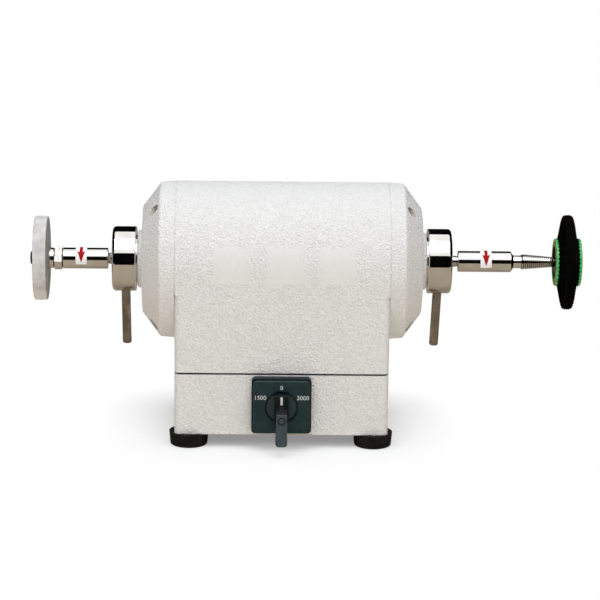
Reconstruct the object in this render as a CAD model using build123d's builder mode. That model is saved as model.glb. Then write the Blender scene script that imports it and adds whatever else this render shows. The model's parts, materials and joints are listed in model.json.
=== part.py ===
"""A double-ended bench polishing machine, made piece by piece in millimetres.

+X runs along the motor shaft towards the brush, -Y is the front with the switch and +Z is up.
The origin is on the bench, under the middle of the four feet.
Along the shaft a place is given as its distance from the middle of the case, so that one
function makes the left piece (side -1) and the right piece (side 1).
"""

from build123d import *

import os
from math import cos, pi, radians, sin

LEFT, RIGHT = -1, 1
SIDES = {LEFT: "left", RIGHT: "right"}

# Whole body
axis_height = 181.9
body_radius = 82.5
case_length = 222.0
corner_radius = 6.0
corner_drop = 20.0
foot_height = 14.3
base_height = 64.0
gasket_thickness = 2.0
gasket_width = 7.0
gasket_inset = 2.0

# Fits and clearances
seat_clearance = 0.02
running_clearance = 0.05
thread_clearance = 0.05
through_clearance = 0.3
register_clearance = 0.05
loose_clearance = 0.2

# Base
base_wall = 3.0
base_flange = 4.0
flange_end_width = 34.0
flange_front_width = 12.0
bottom_plate_thickness = 2.5
post_height = 26.0
vent_count = 7
vent_pitch = 14.0
vent_length = 50.0
vent_width = 4.0

# Feet
foot_inset = 15.0
foot_top_radius = {"front": 20.5, "rear": 18.0}
foot_bottom_radius = {"front": 19.2, "rear": 16.7}
foot_edge = 2.0
foot_recess_radius = 8.5
foot_recess_depth = 8.0

# Fasteners
m6_radius = 3.0
m6_head_radius = 5.0
m6_head_height = 6.0
m6_socket = 5.0
m6_socket_depth = 3.0
m6_pan_radius = 5.5
m6_pan_height = 4.0
m6_hex_across = 10.0
m6_hex_height = 4.0
m4_radius = 2.0
m4_head_radius = 3.5
m4_head_height = 2.4
foot_screw_grip = 20.0
case_bolt_grip = 20.0
bell_screw_grip = 22.0
flange_screw_grip = 9.0
hole_bottom = 2.0

# Motor case
case_wall = 5.0
end_wall = 8.0
case_bolt_inset = 22.0
case_boss = 18.0
case_boss_height = 26.0
wire_passage_length = 60.0
wire_passage_width = 40.0
boss_radius = 7.5
boss_length = 18.0

# End bells
bell_rim = 16.2
bell_cone = 18.8
bell_draft = 1.2
bell_face_radius = 56.0
bell_spigot_radius = 66.0
bell_spigot_length = 6.0
bell_spigot_wall = 6.0
bell_cavity_step = 2.0
bell_floor_radius = 42.0
bell_hub_wall = 8.0
bell_web = 11.0
bell_edge = 3.0
seam_edge = 0.5
bell_screw_circle = 72.5
bell_screw_angle = 57.0
bell_counterbore_radius = 5.4
bell_screw_seat = 8.0

# Motor
stator_radius = 63.0
stator_length = 90.0
air_gap = 0.4
rotor_radius = 38.0
slot_count = 24
slot_radius = 4.0
slot_circle = 47.0
slot_insulation = 0.1
coil_head_length = 26.0
coil_head_inner = 41.5
coil_head_outer = 57.0
coil_head_edge = 6.0
end_ring_inner = 24.0
end_ring_length = 10.0
end_ring_step = 0.5
shaft_radius = 15.5

# Bearings
bearing_bore_radius = 12.5
bearing_outer_radius = 26.0
bearing_width = 15.0
ball_radius = 4.0
ball_count = 9
race_clearance = 0.15
inner_land_radius = 16.3
outer_land_radius = 22.2
cage_width = 10.5
cage_gap = 1.2
washer_thickness = 1.2
washer_inner_radius = 18.5

# Shaft seals
seal_radius = 20.0
seal_width = 7.0
seal_lip = 1.5
seal_wall = 2.0
seal_journal_radius = 12.0
seal_web = 3.0

# Nose flanges
flange_radius = 30.5
flange_thickness = 5.6
flange_edge = 2.6
nose_radius = 20.0
nose_length = 25.5
flange_screw_circle = 24.0
flange_screw_count = 3
flange_spigot_length = 1.8

# Ejector rings and levers
ring_radius = 34.0
ring_width = 25.0
ring_gap = 1.4
ring_outer_edge = 4.0
ring_inner_edge = 1.2
ring_hub_radius = 25.0
ring_mouth_radius = 24.5
ring_seat_play = 0.3
circlip_thickness = 1.5
circlip_depth = 1.0
circlip_reach = 2.5
circlip_from_end = 2.4
circlip_gap = 9.0
lever_radius = 4.75
lever_length = 57.5
lever_lean = {LEFT: 1.2, RIGHT: 2.4}
lever_from_ring_back = 11.4
lever_tail_radius = 4.0
lever_tail_length = 8.0
lever_shoulder = 0.3
lever_end_round = 1.8
ejector_turn = 90.0

# Pushers
pusher_radius = 12.9
pusher_bore_radius = 7.6
pusher_length = 26.0
pusher_end_gap = 0.5
pin_radius = 2.5
pin_from_flange = 8.5
pin_reach = 22.6
pin_root = 8.4
cam_depth = 3.4
cam_overrun = 9.0
cam_clearance = 0.3

# Shaft noses
nose_shaft_radius = 7.0
neck_radius = 6.5
taper_mouth_radius = 5.2
taper_length = 38.0
taper_slope = 0.025
bore_spare = 2.0
mouth_gap = {LEFT: 5.0, RIGHT: 7.5}

# Left arbor and wheel
sleeve_radius = 11.0
sleeve_edge = 0.8
left_sleeve_length = 47.5
groove_width = 0.8
groove_depth = 1.0
spanner_ring_radius = 12.1
spanner_ring_width = 7.7
spanner_across = 17.0
spanner_turn = 42.0
clamp_flange_radius = 10.75
clamp_flange_width = 6.2
wheel_radius = 44.5
wheel_width = 14.0
wheel_edge = 1.2
wheel_stub_radius = 6.0
wheel_stub_set_back = 1.5
wheel_screw_flange_radius = 9.5
wheel_screw_flange = 1.5
wheel_screw_head_radius = 6.8
wheel_screw_head = 3.1
wheel_screw_grip = 15.0

# Right taper spindle
right_sleeve_length = 55.5
right_chamfer = 3.0
journal_radius = 6.7
journal_length = 8.2
screw_taper_start_radius = 7.6
screw_taper_length = 55.8
screw_taper_tip_radius = 3.0

# Brush
brush_from_taper = 35.2
brush_plate_radius = 25.0
inner_plate_width = 3.6
outer_plate_width = 3.8
plate_edge = 1.2
plate_recess_radius = 17.0
plate_recess_depth = 1.6
bristle_gap = 20.0
brush_core_radius = 13.0
backing_radius = 19.0
backing_play = 0.3
brush_radius = 50.0
bristle_rows = 5
bristles_in_row = 90
bristle_width = 1.2
bristle_thickness = 0.9
bristle_root_pitch = 4.3
bristle_tip_pitch = 2.5
bristle_rim_drop = 0.45

# Switch
switch_height = 48.0
frame_width = 62.0
frame_height = 58.5
frame_depth = 10.0
frame_corner = 4.0
dial_width = 58.6
dial_height = 56.0
dial_depth = 4.0
dial_edge = 1.2
dial_groove = 1.0
dial_groove_inset = 1.2
dial_recess = 3.2
knob_gap = 0.3
skirt_radius = 15.4
skirt_play = 1.8
skirt_thickness = 1.7
skirt_edge = 0.6
bar_width = 15.0
bar_height = 30.4
bar_depth = 11.8
bar_edge = 1.5
grip_top_width = 10.8
grip_bottom_width = 12.4
grip_depth = 15.0
grip_rise = 4.5
grip_drop = 35.2
grip_slope = 5.5
grip_edge = 1.0
grip_corner = 3.4
cap_radius = 4.2
cap_depth = 1.0
cap_drop = 7.6
switch_shaft_across = 6.0
switch_shaft_hole_radius = 8.0
contact_block = 46.0
contact_wafer = 13.0
contact_wafers = 4
wafer_groove = 1.5
wafer_gap = 2.0
switch_screw_spread = 34.0
switch_screw_grip = 9.0

# Electrics in the base
capacitor_radius = 20.0
capacitor_length = 80.0
capacitor_end_inset = 65.0
capacitor_rear_inset = 48.5
capacitor_tab = (6.0, 0.8, 8.0)
capacitor_tab_spread = 14.0
strap_width = 16.0
strap_thickness = 1.5
strap_foot = 12.0
terminal_size = (54.0, 20.0, 17.0)
terminal_end_inset = 62.0
terminal_rear_inset = 56.5
terminal_ways = 6
terminal_pitch = 8.0
terminal_hole_radius = 2.4
terminal_hole_depth = 9.0
gland_end_inset = 48.0
gland_rise = 27.0
gland_bore_radius = 4.5
gland_thread_radius = 8.0
gland_thread_length = 13.0
gland_hex_across = 20.0
gland_hex_thickness = 5.0
gland_dome_radius = 9.6
gland_dome_length = 16.0
gland_dome_edge = 3.0
gland_nut_across = 22.0
gland_nut_thickness = 5.0

# Places worked out from the sizes
base_bottom = foot_height
base_top = base_bottom + base_height
case_bottom = base_top + gasket_thickness
case_end = case_length / 2
plate_top = base_bottom + bottom_plate_thickness
foot_x = case_end - foot_inset
foot_y = body_radius - foot_inset
case_bolt_x = case_end - case_bolt_inset
case_bolt_y = body_radius - case_bolt_inset
bell_rim_end = case_end + bell_rim
bell_face = bell_rim_end + bell_cone
bell_seat = case_end + bell_screw_seat
bell_grid_y = 2 * bell_screw_circle * cos(radians(bell_screw_angle))
bell_grid_z = 2 * bell_screw_circle * sin(radians(bell_screw_angle))
stator_end = stator_length / 2
bearing_out = bell_face - bell_web - seal_web
bearing_in = bearing_out - bearing_width - washer_thickness
bearing_middle = bearing_in + bearing_width / 2
ball_circle = (inner_land_radius + outer_land_radius) / 2
seal_in = bell_face - flange_spigot_length - seal_width - loose_clearance
flange_face = bell_face + flange_thickness
nose_end = flange_face + nose_length
ring_back = flange_face + ring_gap
ring_front = ring_back + ring_width
circlip_out = nose_end - circlip_from_end
circlip_in = circlip_out - circlip_thickness
ring_seat = circlip_in - ring_seat_play
lever_place = ring_back + lever_from_ring_back
pin_place = flange_face + pin_from_flange
mouth = {side: ring_front + mouth_gap[side] for side in SIDES}
stroke = {side: mouth_gap[side] - pusher_end_gap for side in SIDES}
spanner_ring_start = mouth[LEFT] + left_sleeve_length + groove_width
spanner_ring_end = spanner_ring_start + spanner_ring_width
clamp_flange_start = spanner_ring_end + groove_width
wheel_in = clamp_flange_start + clamp_flange_width
wheel_out = wheel_in + wheel_width
stub_end = wheel_out - wheel_stub_set_back
right_sleeve_end = mouth[RIGHT] + right_sleeve_length
journal_start = right_sleeve_end + right_chamfer
screw_taper_start = journal_start + journal_length
screw_taper_end = screw_taper_start + screw_taper_length
inner_plate_in = screw_taper_start + brush_from_taper
inner_plate_out = inner_plate_in + inner_plate_width
outer_plate_in = inner_plate_out + bristle_gap
outer_plate_out = outer_plate_in + outer_plate_width
brush_middle = (inner_plate_out + outer_plate_in) / 2
front_wall = -body_radius
frame_front = front_wall - frame_depth
dial_back = frame_front - dial_groove
dial_front = dial_back - dial_depth
skirt_back = dial_front + dial_recess - knob_gap
skirt_front = skirt_back - skirt_thickness
bar_front = skirt_front - bar_depth
grip_front = bar_front - grip_depth
contact_front = front_wall + base_wall
contact_back = contact_front + contact_wafers * contact_wafer
capacitor_x = capacitor_end_inset - case_end
capacitor_y = body_radius - capacitor_rear_inset
terminal_place = (case_end - terminal_end_inset, body_radius - terminal_rear_inset)
gland_place = (case_end - gland_end_inset, base_bottom + gland_rise)

SHAFT = Axis((0, 0, axis_height), (1, 0, 0))
EDGE_REACH = 0.01

os.makedirs("parts", exist_ok=True)


def turning_plane(side):
    """The upright plane through the shaft: local x is outwards along it, local y is the radius."""
    return Plane(origin=(0, 0, axis_height), x_dir=(side, 0, 0), z_dir=(0, -side, 0))


def end_plane(side, distance):
    """The plane square to the shaft at a distance from the middle, facing outwards, local y up."""
    return Plane(origin=(side * distance, 0, axis_height), x_dir=(0, side, 0), z_dir=(side, 0, 0))


def front_plane(y):
    """The plane parallel to the front at y, facing forwards, with local x to the right, local y up."""
    return Plane(origin=(0, y, 0), x_dir=(1, 0, 0), z_dir=(0, -1, 0))


def turned(side, *outline):
    """A face in the turning plane from (distance, radius) corners, to be revolved round the shaft."""
    with BuildSketch(turning_plane(side), mode=Mode.PRIVATE) as profile:
        with BuildLine():
            Polyline(*outline, close=True)
        make_face()
    return profile.sketch


def washer(side, start, end, inner, outer):
    """The section of a plain ring between two places along the shaft, to be revolved round it."""
    return turned(side, (start, inner), (start, outer), (end, outer), (end, inner))


def arch(plane, radius, floor):
    """An arch face: straight walls up to the shaft's height and a half round on top."""
    with BuildSketch(plane, mode=Mode.PRIVATE) as face:
        with BuildLine():
            Polyline((-radius, axis_height), (-radius, floor), (radius, floor), (radius, axis_height))
            ThreePointArc((radius, axis_height), (0, axis_height + radius), (-radius, axis_height))
        make_face()
    return face.sketch


def rims(piece, place, radius):
    """The round edges of a turned piece at this distance along the shaft and of this radius."""
    rounds = piece.edges().filter_by(GeomType.CIRCLE)
    near = rounds.filter_by(lambda edge: abs(abs(edge.arc_center.X) - place) < EDGE_REACH)
    return near.filter_by(lambda edge: abs(edge.radius - radius) < EDGE_REACH)


def save(piece, node):
    """Label a finished piece and write it under its node's name."""
    piece.part.label = node
    export_step(piece.part, f"parts/{node}.step")


# Base box: four walls, an inward flange under the case and four corner posts
def base_corners(x, y):
    """The four corner places of a rectangle round the middle."""
    return GridLocations(2 * x, 2 * y, 2, 2)


post_size = 2 * (foot_inset - 0.8 * base_wall)
with BuildPart() as base_box:
    with BuildSketch(Plane.XY.offset(base_bottom)):
        RectangleRounded(case_length, 2 * body_radius, corner_radius)
    extrude(amount=base_height)
    with BuildSketch(Plane.XY.offset(base_bottom)):
        Rectangle(case_length - 2 * base_wall, 2 * (body_radius - base_wall))
    extrude(amount=base_height - base_flange, mode=Mode.SUBTRACT)
    with BuildSketch(Plane.XY.offset(base_bottom)):
        Rectangle(case_length - 2 * flange_end_width, 2 * (body_radius - flange_front_width))
    extrude(amount=base_height, mode=Mode.SUBTRACT)
    with BuildSketch(Plane.XY.offset(plate_top)):
        with base_corners(foot_x, foot_y):
            Rectangle(post_size, post_size)
    extrude(amount=post_height)
    with BuildSketch(Plane.XY.offset(plate_top)):
        with base_corners(foot_x, foot_y):
            Circle(m6_radius + thread_clearance)
    extrude(amount=foot_screw_grip + hole_bottom, mode=Mode.SUBTRACT)
    with BuildSketch(Plane.XY.offset(base_top)):
        with base_corners(case_bolt_x, case_bolt_y):
            Circle(m6_radius + through_clearance)
    extrude(amount=-base_flange, mode=Mode.SUBTRACT)
    with BuildSketch(front_plane(front_wall)):
        with Locations((0, switch_height)):
            Circle(switch_shaft_hole_radius)
            with GridLocations(switch_screw_spread, switch_screw_spread, 2, 2):
                Circle(m4_radius + through_clearance)
    extrude(amount=-base_wall, mode=Mode.SUBTRACT)
    with BuildSketch(front_plane(body_radius)):
        with Locations(gland_place):
            Circle(gland_thread_radius + through_clearance)
    extrude(amount=base_wall, mode=Mode.SUBTRACT)
save(base_box, "base_box")

# Bottom plate: closes the base, with a row of vent slots
with BuildPart() as bottom_plate:
    with BuildSketch(Plane.XY.offset(base_bottom)):
        Rectangle(
            case_length - 2 * (base_wall + loose_clearance),
            2 * (body_radius - base_wall - loose_clearance),
        )
        with base_corners(foot_x, foot_y):
            Circle(m6_radius + through_clearance, mode=Mode.SUBTRACT)
        with GridLocations(vent_pitch, 1, vent_count, 1):
            SlotOverall(vent_length, vent_width, rotation=90, mode=Mode.SUBTRACT)
    extrude(amount=bottom_plate_thickness)
save(bottom_plate, "base_bottom_plate")

# Feet: round rubber buffers, each with a recess for its screw
for x_side, x_name in SIDES.items():
    for y_side, y_name in ((-1, "front"), (1, "rear")):
        foot_plane = Plane(origin=(x_side * foot_x, y_side * foot_y, 0), z_dir=(0, 0, 1))
        with BuildPart() as foot:
            with BuildSketch(foot_plane):
                Circle(foot_bottom_radius[y_name])
            with BuildSketch(foot_plane.offset(foot_height)):
                Circle(foot_top_radius[y_name])
            loft()
            fillet(foot.edges().group_by(Axis.Z)[0], foot_edge)
            with BuildSketch(foot_plane):
                Circle(foot_recess_radius)
            extrude(amount=foot_recess_depth, mode=Mode.SUBTRACT)
            with BuildSketch(foot_plane):
                Circle(m6_radius + through_clearance)
            extrude(amount=foot_height, mode=Mode.SUBTRACT)
        save(foot, f"foot_{y_name}_{x_name}")

# Foot screws: pan heads in the feet, up into the corner posts
with BuildPart() as foot_screws:
    with BuildSketch(Plane.XY.offset(foot_recess_depth)):
        with base_corners(foot_x, foot_y):
            Circle(m6_pan_radius)
    extrude(amount=-m6_pan_height)
    with BuildSketch(Plane.XY.offset(foot_recess_depth)):
        with base_corners(foot_x, foot_y):
            Circle(m6_radius)
    extrude(amount=plate_top + foot_screw_grip - foot_recess_depth)
save(foot_screws, "foot_screws")

# Gasket: a dark strip set back between base and case
with BuildPart() as gasket:
    with BuildSketch(Plane.XY.offset(base_top)):
        RectangleRounded(
            case_length - 2 * gasket_inset,
            2 * (body_radius - gasket_inset),
            corner_radius - gasket_inset,
        )
        Rectangle(
            case_length - 2 * (gasket_inset + gasket_width),
            2 * (body_radius - gasket_inset - gasket_width),
            mode=Mode.SUBTRACT,
        )
    extrude(amount=gasket_thickness)
save(gasket, "case_gasket")

# Motor case: an arched casting with a stator seat in the middle and a round opening at each end
pocket_length = case_end - end_wall - stator_end
boss_in_x = case_bolt_x - case_boss / 2
boss_in_y = case_bolt_y - case_boss / 2
boss_out_x = case_end - end_wall / 2
boss_out_y = body_radius - case_wall / 2
with BuildPart() as motor_case:
    extrude(arch(Plane.YZ.offset(-case_end), body_radius, case_bottom), amount=case_length)
    with BuildSketch(Plane.XY.offset(case_bottom)):
        Rectangle(case_length, 2 * body_radius)
        RectangleRounded(case_length, 2 * body_radius, corner_radius, mode=Mode.SUBTRACT)
    extrude(amount=axis_height - corner_drop - case_bottom, mode=Mode.SUBTRACT)
    for pocket_start in (stator_end, end_wall - case_end):
        pocket = arch(Plane.YZ.offset(pocket_start), body_radius - case_wall, case_bottom)
        extrude(pocket, amount=pocket_length, mode=Mode.SUBTRACT)
    for side in SIDES:
        with BuildSketch(end_plane(side, case_end - end_wall)):
            with GridLocations(bell_grid_y, bell_grid_z, 2, 2):
                Circle(boss_radius)
        extrude(amount=-boss_length)
    with BuildSketch(Plane.XY.offset(case_bottom)):
        with base_corners((boss_in_x + boss_out_x) / 2, (boss_in_y + boss_out_y) / 2):
            Rectangle(boss_out_x - boss_in_x, boss_out_y - boss_in_y)
    extrude(amount=case_boss_height)
    with BuildSketch(Plane.XY.offset(base_top)):
        with base_corners(case_bolt_x, case_bolt_y):
            Rectangle(case_boss, case_boss)
    extrude(amount=gasket_thickness)
    with BuildSketch(Plane.XY.offset(base_top)):
        with base_corners(case_bolt_x, case_bolt_y):
            Circle(m6_radius + thread_clearance)
    extrude(amount=case_bolt_grip + hole_bottom, mode=Mode.SUBTRACT)
    with BuildSketch(end_plane(RIGHT, 0)):
        Circle(stator_radius + seat_clearance)
    extrude(amount=stator_end, both=True, mode=Mode.SUBTRACT)
    with BuildSketch(Plane.XY.offset(case_bottom)):
        Rectangle(wire_passage_length, wire_passage_width)
    extrude(amount=axis_height - stator_radius - case_bottom + base_wall, mode=Mode.SUBTRACT)
    for side in SIDES:
        with BuildSketch(end_plane(side, case_end)):
            Circle(bell_spigot_radius)
        extrude(amount=-end_wall, mode=Mode.SUBTRACT)
        with BuildSketch(end_plane(side, case_end)):
            with GridLocations(bell_grid_y, bell_grid_z, 2, 2):
                Circle(m6_radius + thread_clearance)
        extrude(amount=-bell_screw_grip - hole_bottom, mode=Mode.SUBTRACT)
save(motor_case, "motor_case")

# Case bolts: hex heads under the base flange, up into the case
with BuildPart() as case_bolts:
    with BuildSketch(Plane.XY.offset(base_top - base_flange)):
        with base_corners(case_bolt_x, case_bolt_y):
            RegularPolygon(m6_hex_across / 2, 6, major_radius=False)
    extrude(amount=-m6_hex_height)
    with BuildSketch(Plane.XY.offset(base_top - base_flange)):
        with base_corners(case_bolt_x, case_bolt_y):
            Circle(m6_radius)
    extrude(amount=base_flange + case_bolt_grip)
save(case_bolts, "case_bolts")


# End bells: a short tapered rim, a cone down to the end face and a hub for bearing and seal
def end_bell(side):
    """Make one end bell."""
    hub_radius = bearing_outer_radius + bell_hub_wall
    spigot_radius = bell_spigot_radius - register_clearance
    cavity_radius = bell_spigot_radius - bell_spigot_wall
    seal_shoulder = bell_face - bell_web
    shoulder_radius = (seal_journal_radius + seal_radius) / 2
    bearing_seat_radius = bearing_outer_radius + seat_clearance
    rim_radius = body_radius - bell_draft
    outline = [
        (case_end, body_radius),
        (bell_rim_end, rim_radius),
        (bell_face, bell_face_radius),
        (bell_face, seal_radius),
        (seal_shoulder, seal_radius),
        (seal_shoulder, shoulder_radius),
        (bearing_out, shoulder_radius),
        (bearing_out, bearing_seat_radius),
        (bearing_in, bearing_seat_radius),
        (bearing_in, hub_radius),
        (seal_shoulder - bell_cavity_step, hub_radius),
        (seal_shoulder - bell_cavity_step, bell_floor_radius),
        (bell_seat + bell_cavity_step, cavity_radius),
        (case_end - bell_spigot_length, cavity_radius),
        (case_end - bell_spigot_length, spigot_radius),
        (case_end, spigot_radius),
    ]
    with BuildPart() as bell:
        revolve(turned(side, *outline), axis=SHAFT)
        fillet(rims(bell, bell_rim_end, rim_radius), bell_edge)
        chamfer(rims(bell, case_end, body_radius), seam_edge)
        fillet(rims(bell, bell_face, bell_face_radius), bell_edge)
        with BuildSketch(end_plane(side, bell_face)):
            with GridLocations(bell_grid_y, bell_grid_z, 2, 2):
                Circle(bell_counterbore_radius)
        extrude(amount=bell_seat - bell_face, mode=Mode.SUBTRACT)
        with BuildSketch(end_plane(side, bell_seat)):
            with GridLocations(bell_grid_y, bell_grid_z, 2, 2):
                Circle(m6_radius + through_clearance)
        extrude(amount=-bell_screw_seat, mode=Mode.SUBTRACT)
        with BuildSketch(end_plane(side, bell_face)):
            with PolarLocations(flange_screw_circle, flange_screw_count):
                Circle(m4_radius + thread_clearance)
        extrude(amount=-flange_screw_grip - hole_bottom, mode=Mode.SUBTRACT)
    save(bell, f"{SIDES[side]}_end_bell")


for side in SIDES:
    end_bell(side)

# Bell screws: socket heads deep in the counterbores of both bells
with BuildPart() as bell_screws:
    for side in SIDES:
        with BuildSketch(end_plane(side, bell_seat)):
            with GridLocations(bell_grid_y, bell_grid_z, 2, 2):
                Circle(m6_head_radius)
        extrude(amount=m6_head_height)
        with BuildSketch(end_plane(side, bell_seat)):
            with GridLocations(bell_grid_y, bell_grid_z, 2, 2):
                Circle(m6_radius)
        extrude(amount=-bell_screw_seat - bell_screw_grip)
        with BuildSketch(end_plane(side, bell_seat + m6_head_height)):
            with GridLocations(bell_grid_y, bell_grid_z, 2, 2):
                RegularPolygon(m6_socket / 2, 6, major_radius=False)
        extrude(amount=-m6_socket_depth, mode=Mode.SUBTRACT)
save(bell_screws, "bell_screws")

# Stator: a ring of laminations with round slots, and its windings in the slots and in two end heads
with BuildPart() as stator_core:
    with BuildSketch(end_plane(RIGHT, 0)):
        Circle(stator_radius)
        Circle(rotor_radius + air_gap, mode=Mode.SUBTRACT)
        with PolarLocations(slot_circle, slot_count):
            Circle(slot_radius, mode=Mode.SUBTRACT)
    extrude(amount=stator_end, both=True)
save(stator_core, "stator_core")

with BuildPart() as stator_windings:
    with BuildSketch(end_plane(RIGHT, 0)):
        with PolarLocations(slot_circle, slot_count):
            Circle(slot_radius - slot_insulation)
    extrude(amount=stator_end + coil_head_edge, both=True)
    for side in SIDES:
        with BuildSketch(turning_plane(side)):
            with Locations((stator_end + coil_head_length / 2, (coil_head_inner + coil_head_outer) / 2)):
                RectangleRounded(coil_head_length, coil_head_outer - coil_head_inner, coil_head_edge)
        revolve(axis=SHAFT)
save(stator_windings, "stator_windings")

# Rotor: laminations pressed on the shaft, with a cast end ring on each face
rotor_bore_radius = shaft_radius + seat_clearance
with BuildPart() as rotor_core:
    revolve(washer(RIGHT, -stator_end, stator_end, rotor_bore_radius, rotor_radius), axis=SHAFT)
save(rotor_core, "rotor_core")

end_ring_radius = rotor_radius - end_ring_step
with BuildPart() as rotor_end_rings:
    for side in SIDES:
        end_ring_face = stator_end + end_ring_length
        revolve(washer(side, stator_end, end_ring_face, end_ring_inner, end_ring_radius), axis=SHAFT)
save(rotor_end_rings, "rotor_end_rings")


# Shaft: stepped towards each end, with a self-holding taper nose for the spindles
def taper_radius(depth):
    """The radius of a taper nose at a depth past the spindle's mouth."""
    return taper_mouth_radius - taper_slope * depth


def half_shaft(side):
    """The outline of one half of the shaft, from the middle to its tip."""
    tip = mouth[side] + taper_length
    return [
        (0, 0),
        (0, shaft_radius),
        (bearing_in, shaft_radius),
        (bearing_in, bearing_bore_radius),
        (bearing_out, bearing_bore_radius),
        (bearing_out, seal_journal_radius),
        (bell_face, seal_journal_radius),
        (bell_face, nose_shaft_radius),
        (nose_end, nose_shaft_radius),
        (ring_front, neck_radius),
        (mouth[side], taper_mouth_radius),
        (tip, taper_radius(taper_length)),
        (tip, 0),
    ]


with BuildPart() as motor_shaft:
    for side in SIDES:
        revolve(turned(side, *half_shaft(side)), axis=SHAFT)
save(motor_shaft, "motor_shaft")


# Bearings: outer ring in the bell, inner ring on the shaft, balls in a cage between them
def race_ring(side, inner, outer, node):
    """Make one bearing ring with its ball groove."""
    with BuildPart() as ring:
        revolve(washer(side, bearing_in, bearing_in + bearing_width, inner, outer), axis=SHAFT)
        with BuildSketch(turning_plane(side)):
            with Locations((bearing_middle, ball_circle)):
                Circle(ball_radius + race_clearance)
        revolve(axis=SHAFT, mode=Mode.SUBTRACT)
    save(ring, node)


def ball_cage(side):
    """Make the balls of one bearing and the cage that spaces them."""
    middle = Vector(side * bearing_middle, 0, axis_height)
    turns = [2 * pi * number / ball_count for number in range(ball_count)]
    spokes = [Vector(0, cos(turn), sin(turn)) for turn in turns]
    cage_start = bearing_middle - cage_width / 2
    cage_inner = inner_land_radius + cage_gap
    cage_outer = outer_land_radius - cage_gap
    with BuildPart() as cage:
        revolve(washer(side, cage_start, cage_start + cage_width, cage_inner, cage_outer), axis=SHAFT)
        for spoke in spokes:
            with BuildSketch(Plane(origin=middle, z_dir=spoke)):
                Circle(ball_radius + loose_clearance)
            extrude(amount=outer_land_radius, mode=Mode.SUBTRACT)
        for spoke in spokes:
            with Locations(middle + spoke * ball_circle):
                Sphere(ball_radius)
    save(cage, f"{SIDES[side]}_bearing_balls")


for side, name in SIDES.items():
    race_ring(side, outer_land_radius, bearing_outer_radius, f"{name}_bearing_outer_ring")
    race_ring(side, bearing_bore_radius + seat_clearance, inner_land_radius, f"{name}_bearing_inner_ring")
    ball_cage(side)

# Preload washers: behind the outer rings, one in each bell
with BuildPart() as preload_washers:
    for side in SIDES:
        washer_start = bearing_out - washer_thickness
        section = washer(side, washer_start, bearing_out, washer_inner_radius, bearing_outer_radius)
        revolve(section, axis=SHAFT)
save(preload_washers, "preload_washers")


# Shaft seals: an outer wall pressed in the bell and a lip that runs round the shaft
def shaft_seal(side):
    """Make one shaft seal."""
    rim = seal_radius - seat_clearance
    lip = seal_journal_radius + running_clearance
    seal_out = seal_in + seal_width
    outline = [
        (seal_in, rim - seal_wall),
        (seal_in, rim),
        (seal_out, rim),
        (seal_out, lip),
        (seal_out - seal_lip, lip),
        (seal_out - seal_lip, rim - seal_wall),
    ]
    with BuildPart() as seal:
        revolve(turned(side, *outline), axis=SHAFT)
    save(seal, f"{SIDES[side]}_shaft_seal")


for side in SIDES:
    shaft_seal(side)


# Nose flanges: a painted flange on the bell's face and a nose that carries the ejector ring
nose_bore_radius = pusher_radius + running_clearance
flange_screw_seat = flange_face - m4_head_height - loose_clearance
cam_half_width = pin_radius + cam_clearance


def nose_flange(side):
    """Make one nose flange, with the slot that guides the pusher's pin."""
    spigot_radius = seal_radius - register_clearance
    spigot = bell_face - flange_spigot_length
    outline = [
        (spigot, nose_bore_radius),
        (spigot, spigot_radius),
        (bell_face, spigot_radius),
        (bell_face, flange_radius),
        (flange_face, flange_radius),
        (flange_face, nose_radius),
        (nose_end, nose_radius),
        (nose_end, nose_bore_radius),
    ]
    groove_floor = nose_radius - circlip_depth
    groove = washer(side, circlip_in, circlip_out, groove_floor, nose_radius + circlip_depth)
    with BuildPart() as flange:
        revolve(turned(side, *outline), axis=SHAFT)
        fillet(rims(flange, flange_face, flange_radius), flange_edge)
        revolve(groove, axis=SHAFT, mode=Mode.SUBTRACT)
        with BuildSketch(end_plane(side, flange_face)):
            with PolarLocations(flange_screw_circle, flange_screw_count):
                Circle(m4_head_radius + loose_clearance)
        extrude(amount=flange_screw_seat - flange_face, mode=Mode.SUBTRACT)
        with BuildSketch(end_plane(side, flange_screw_seat)):
            with PolarLocations(flange_screw_circle, flange_screw_count):
                Circle(m4_radius + through_clearance)
        extrude(amount=bell_face - flange_screw_seat, mode=Mode.SUBTRACT)
        with BuildSketch(Plane.XY.offset(axis_height + pin_root)):
            with Locations((side * (pin_place + stroke[side] / 2), 0)):
                SlotOverall(stroke[side] + 2 * cam_half_width, 2 * cam_half_width)
        extrude(amount=nose_radius, mode=Mode.SUBTRACT)
    save(flange, f"{SIDES[side]}_nose_flange")


for side in SIDES:
    nose_flange(side)

# Flange screws: three in each nose flange
with BuildPart() as flange_screws:
    for side in SIDES:
        with BuildSketch(end_plane(side, flange_screw_seat)):
            with PolarLocations(flange_screw_circle, flange_screw_count):
                Circle(m4_head_radius)
        extrude(amount=m4_head_height)
        with BuildSketch(end_plane(side, flange_screw_seat)):
            with PolarLocations(flange_screw_circle, flange_screw_count):
                Circle(m4_radius)
        extrude(amount=bell_face - flange_screw_seat - flange_screw_grip)
save(flange_screws, "flange_screws")


# Ejector rings: they turn on the noses, and a cam groove inside each drives a pin along the shaft
def lever_plane(side):
    """The plane where a lever leaves its ring, facing down along the leaning lever."""
    lean = radians(lever_lean[side])
    root = (side * lever_place, 0, axis_height - ring_radius)
    return Plane(origin=root, x_dir=(0, 1, 0), z_dir=(-side * sin(lean), 0, -cos(lean)))


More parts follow.
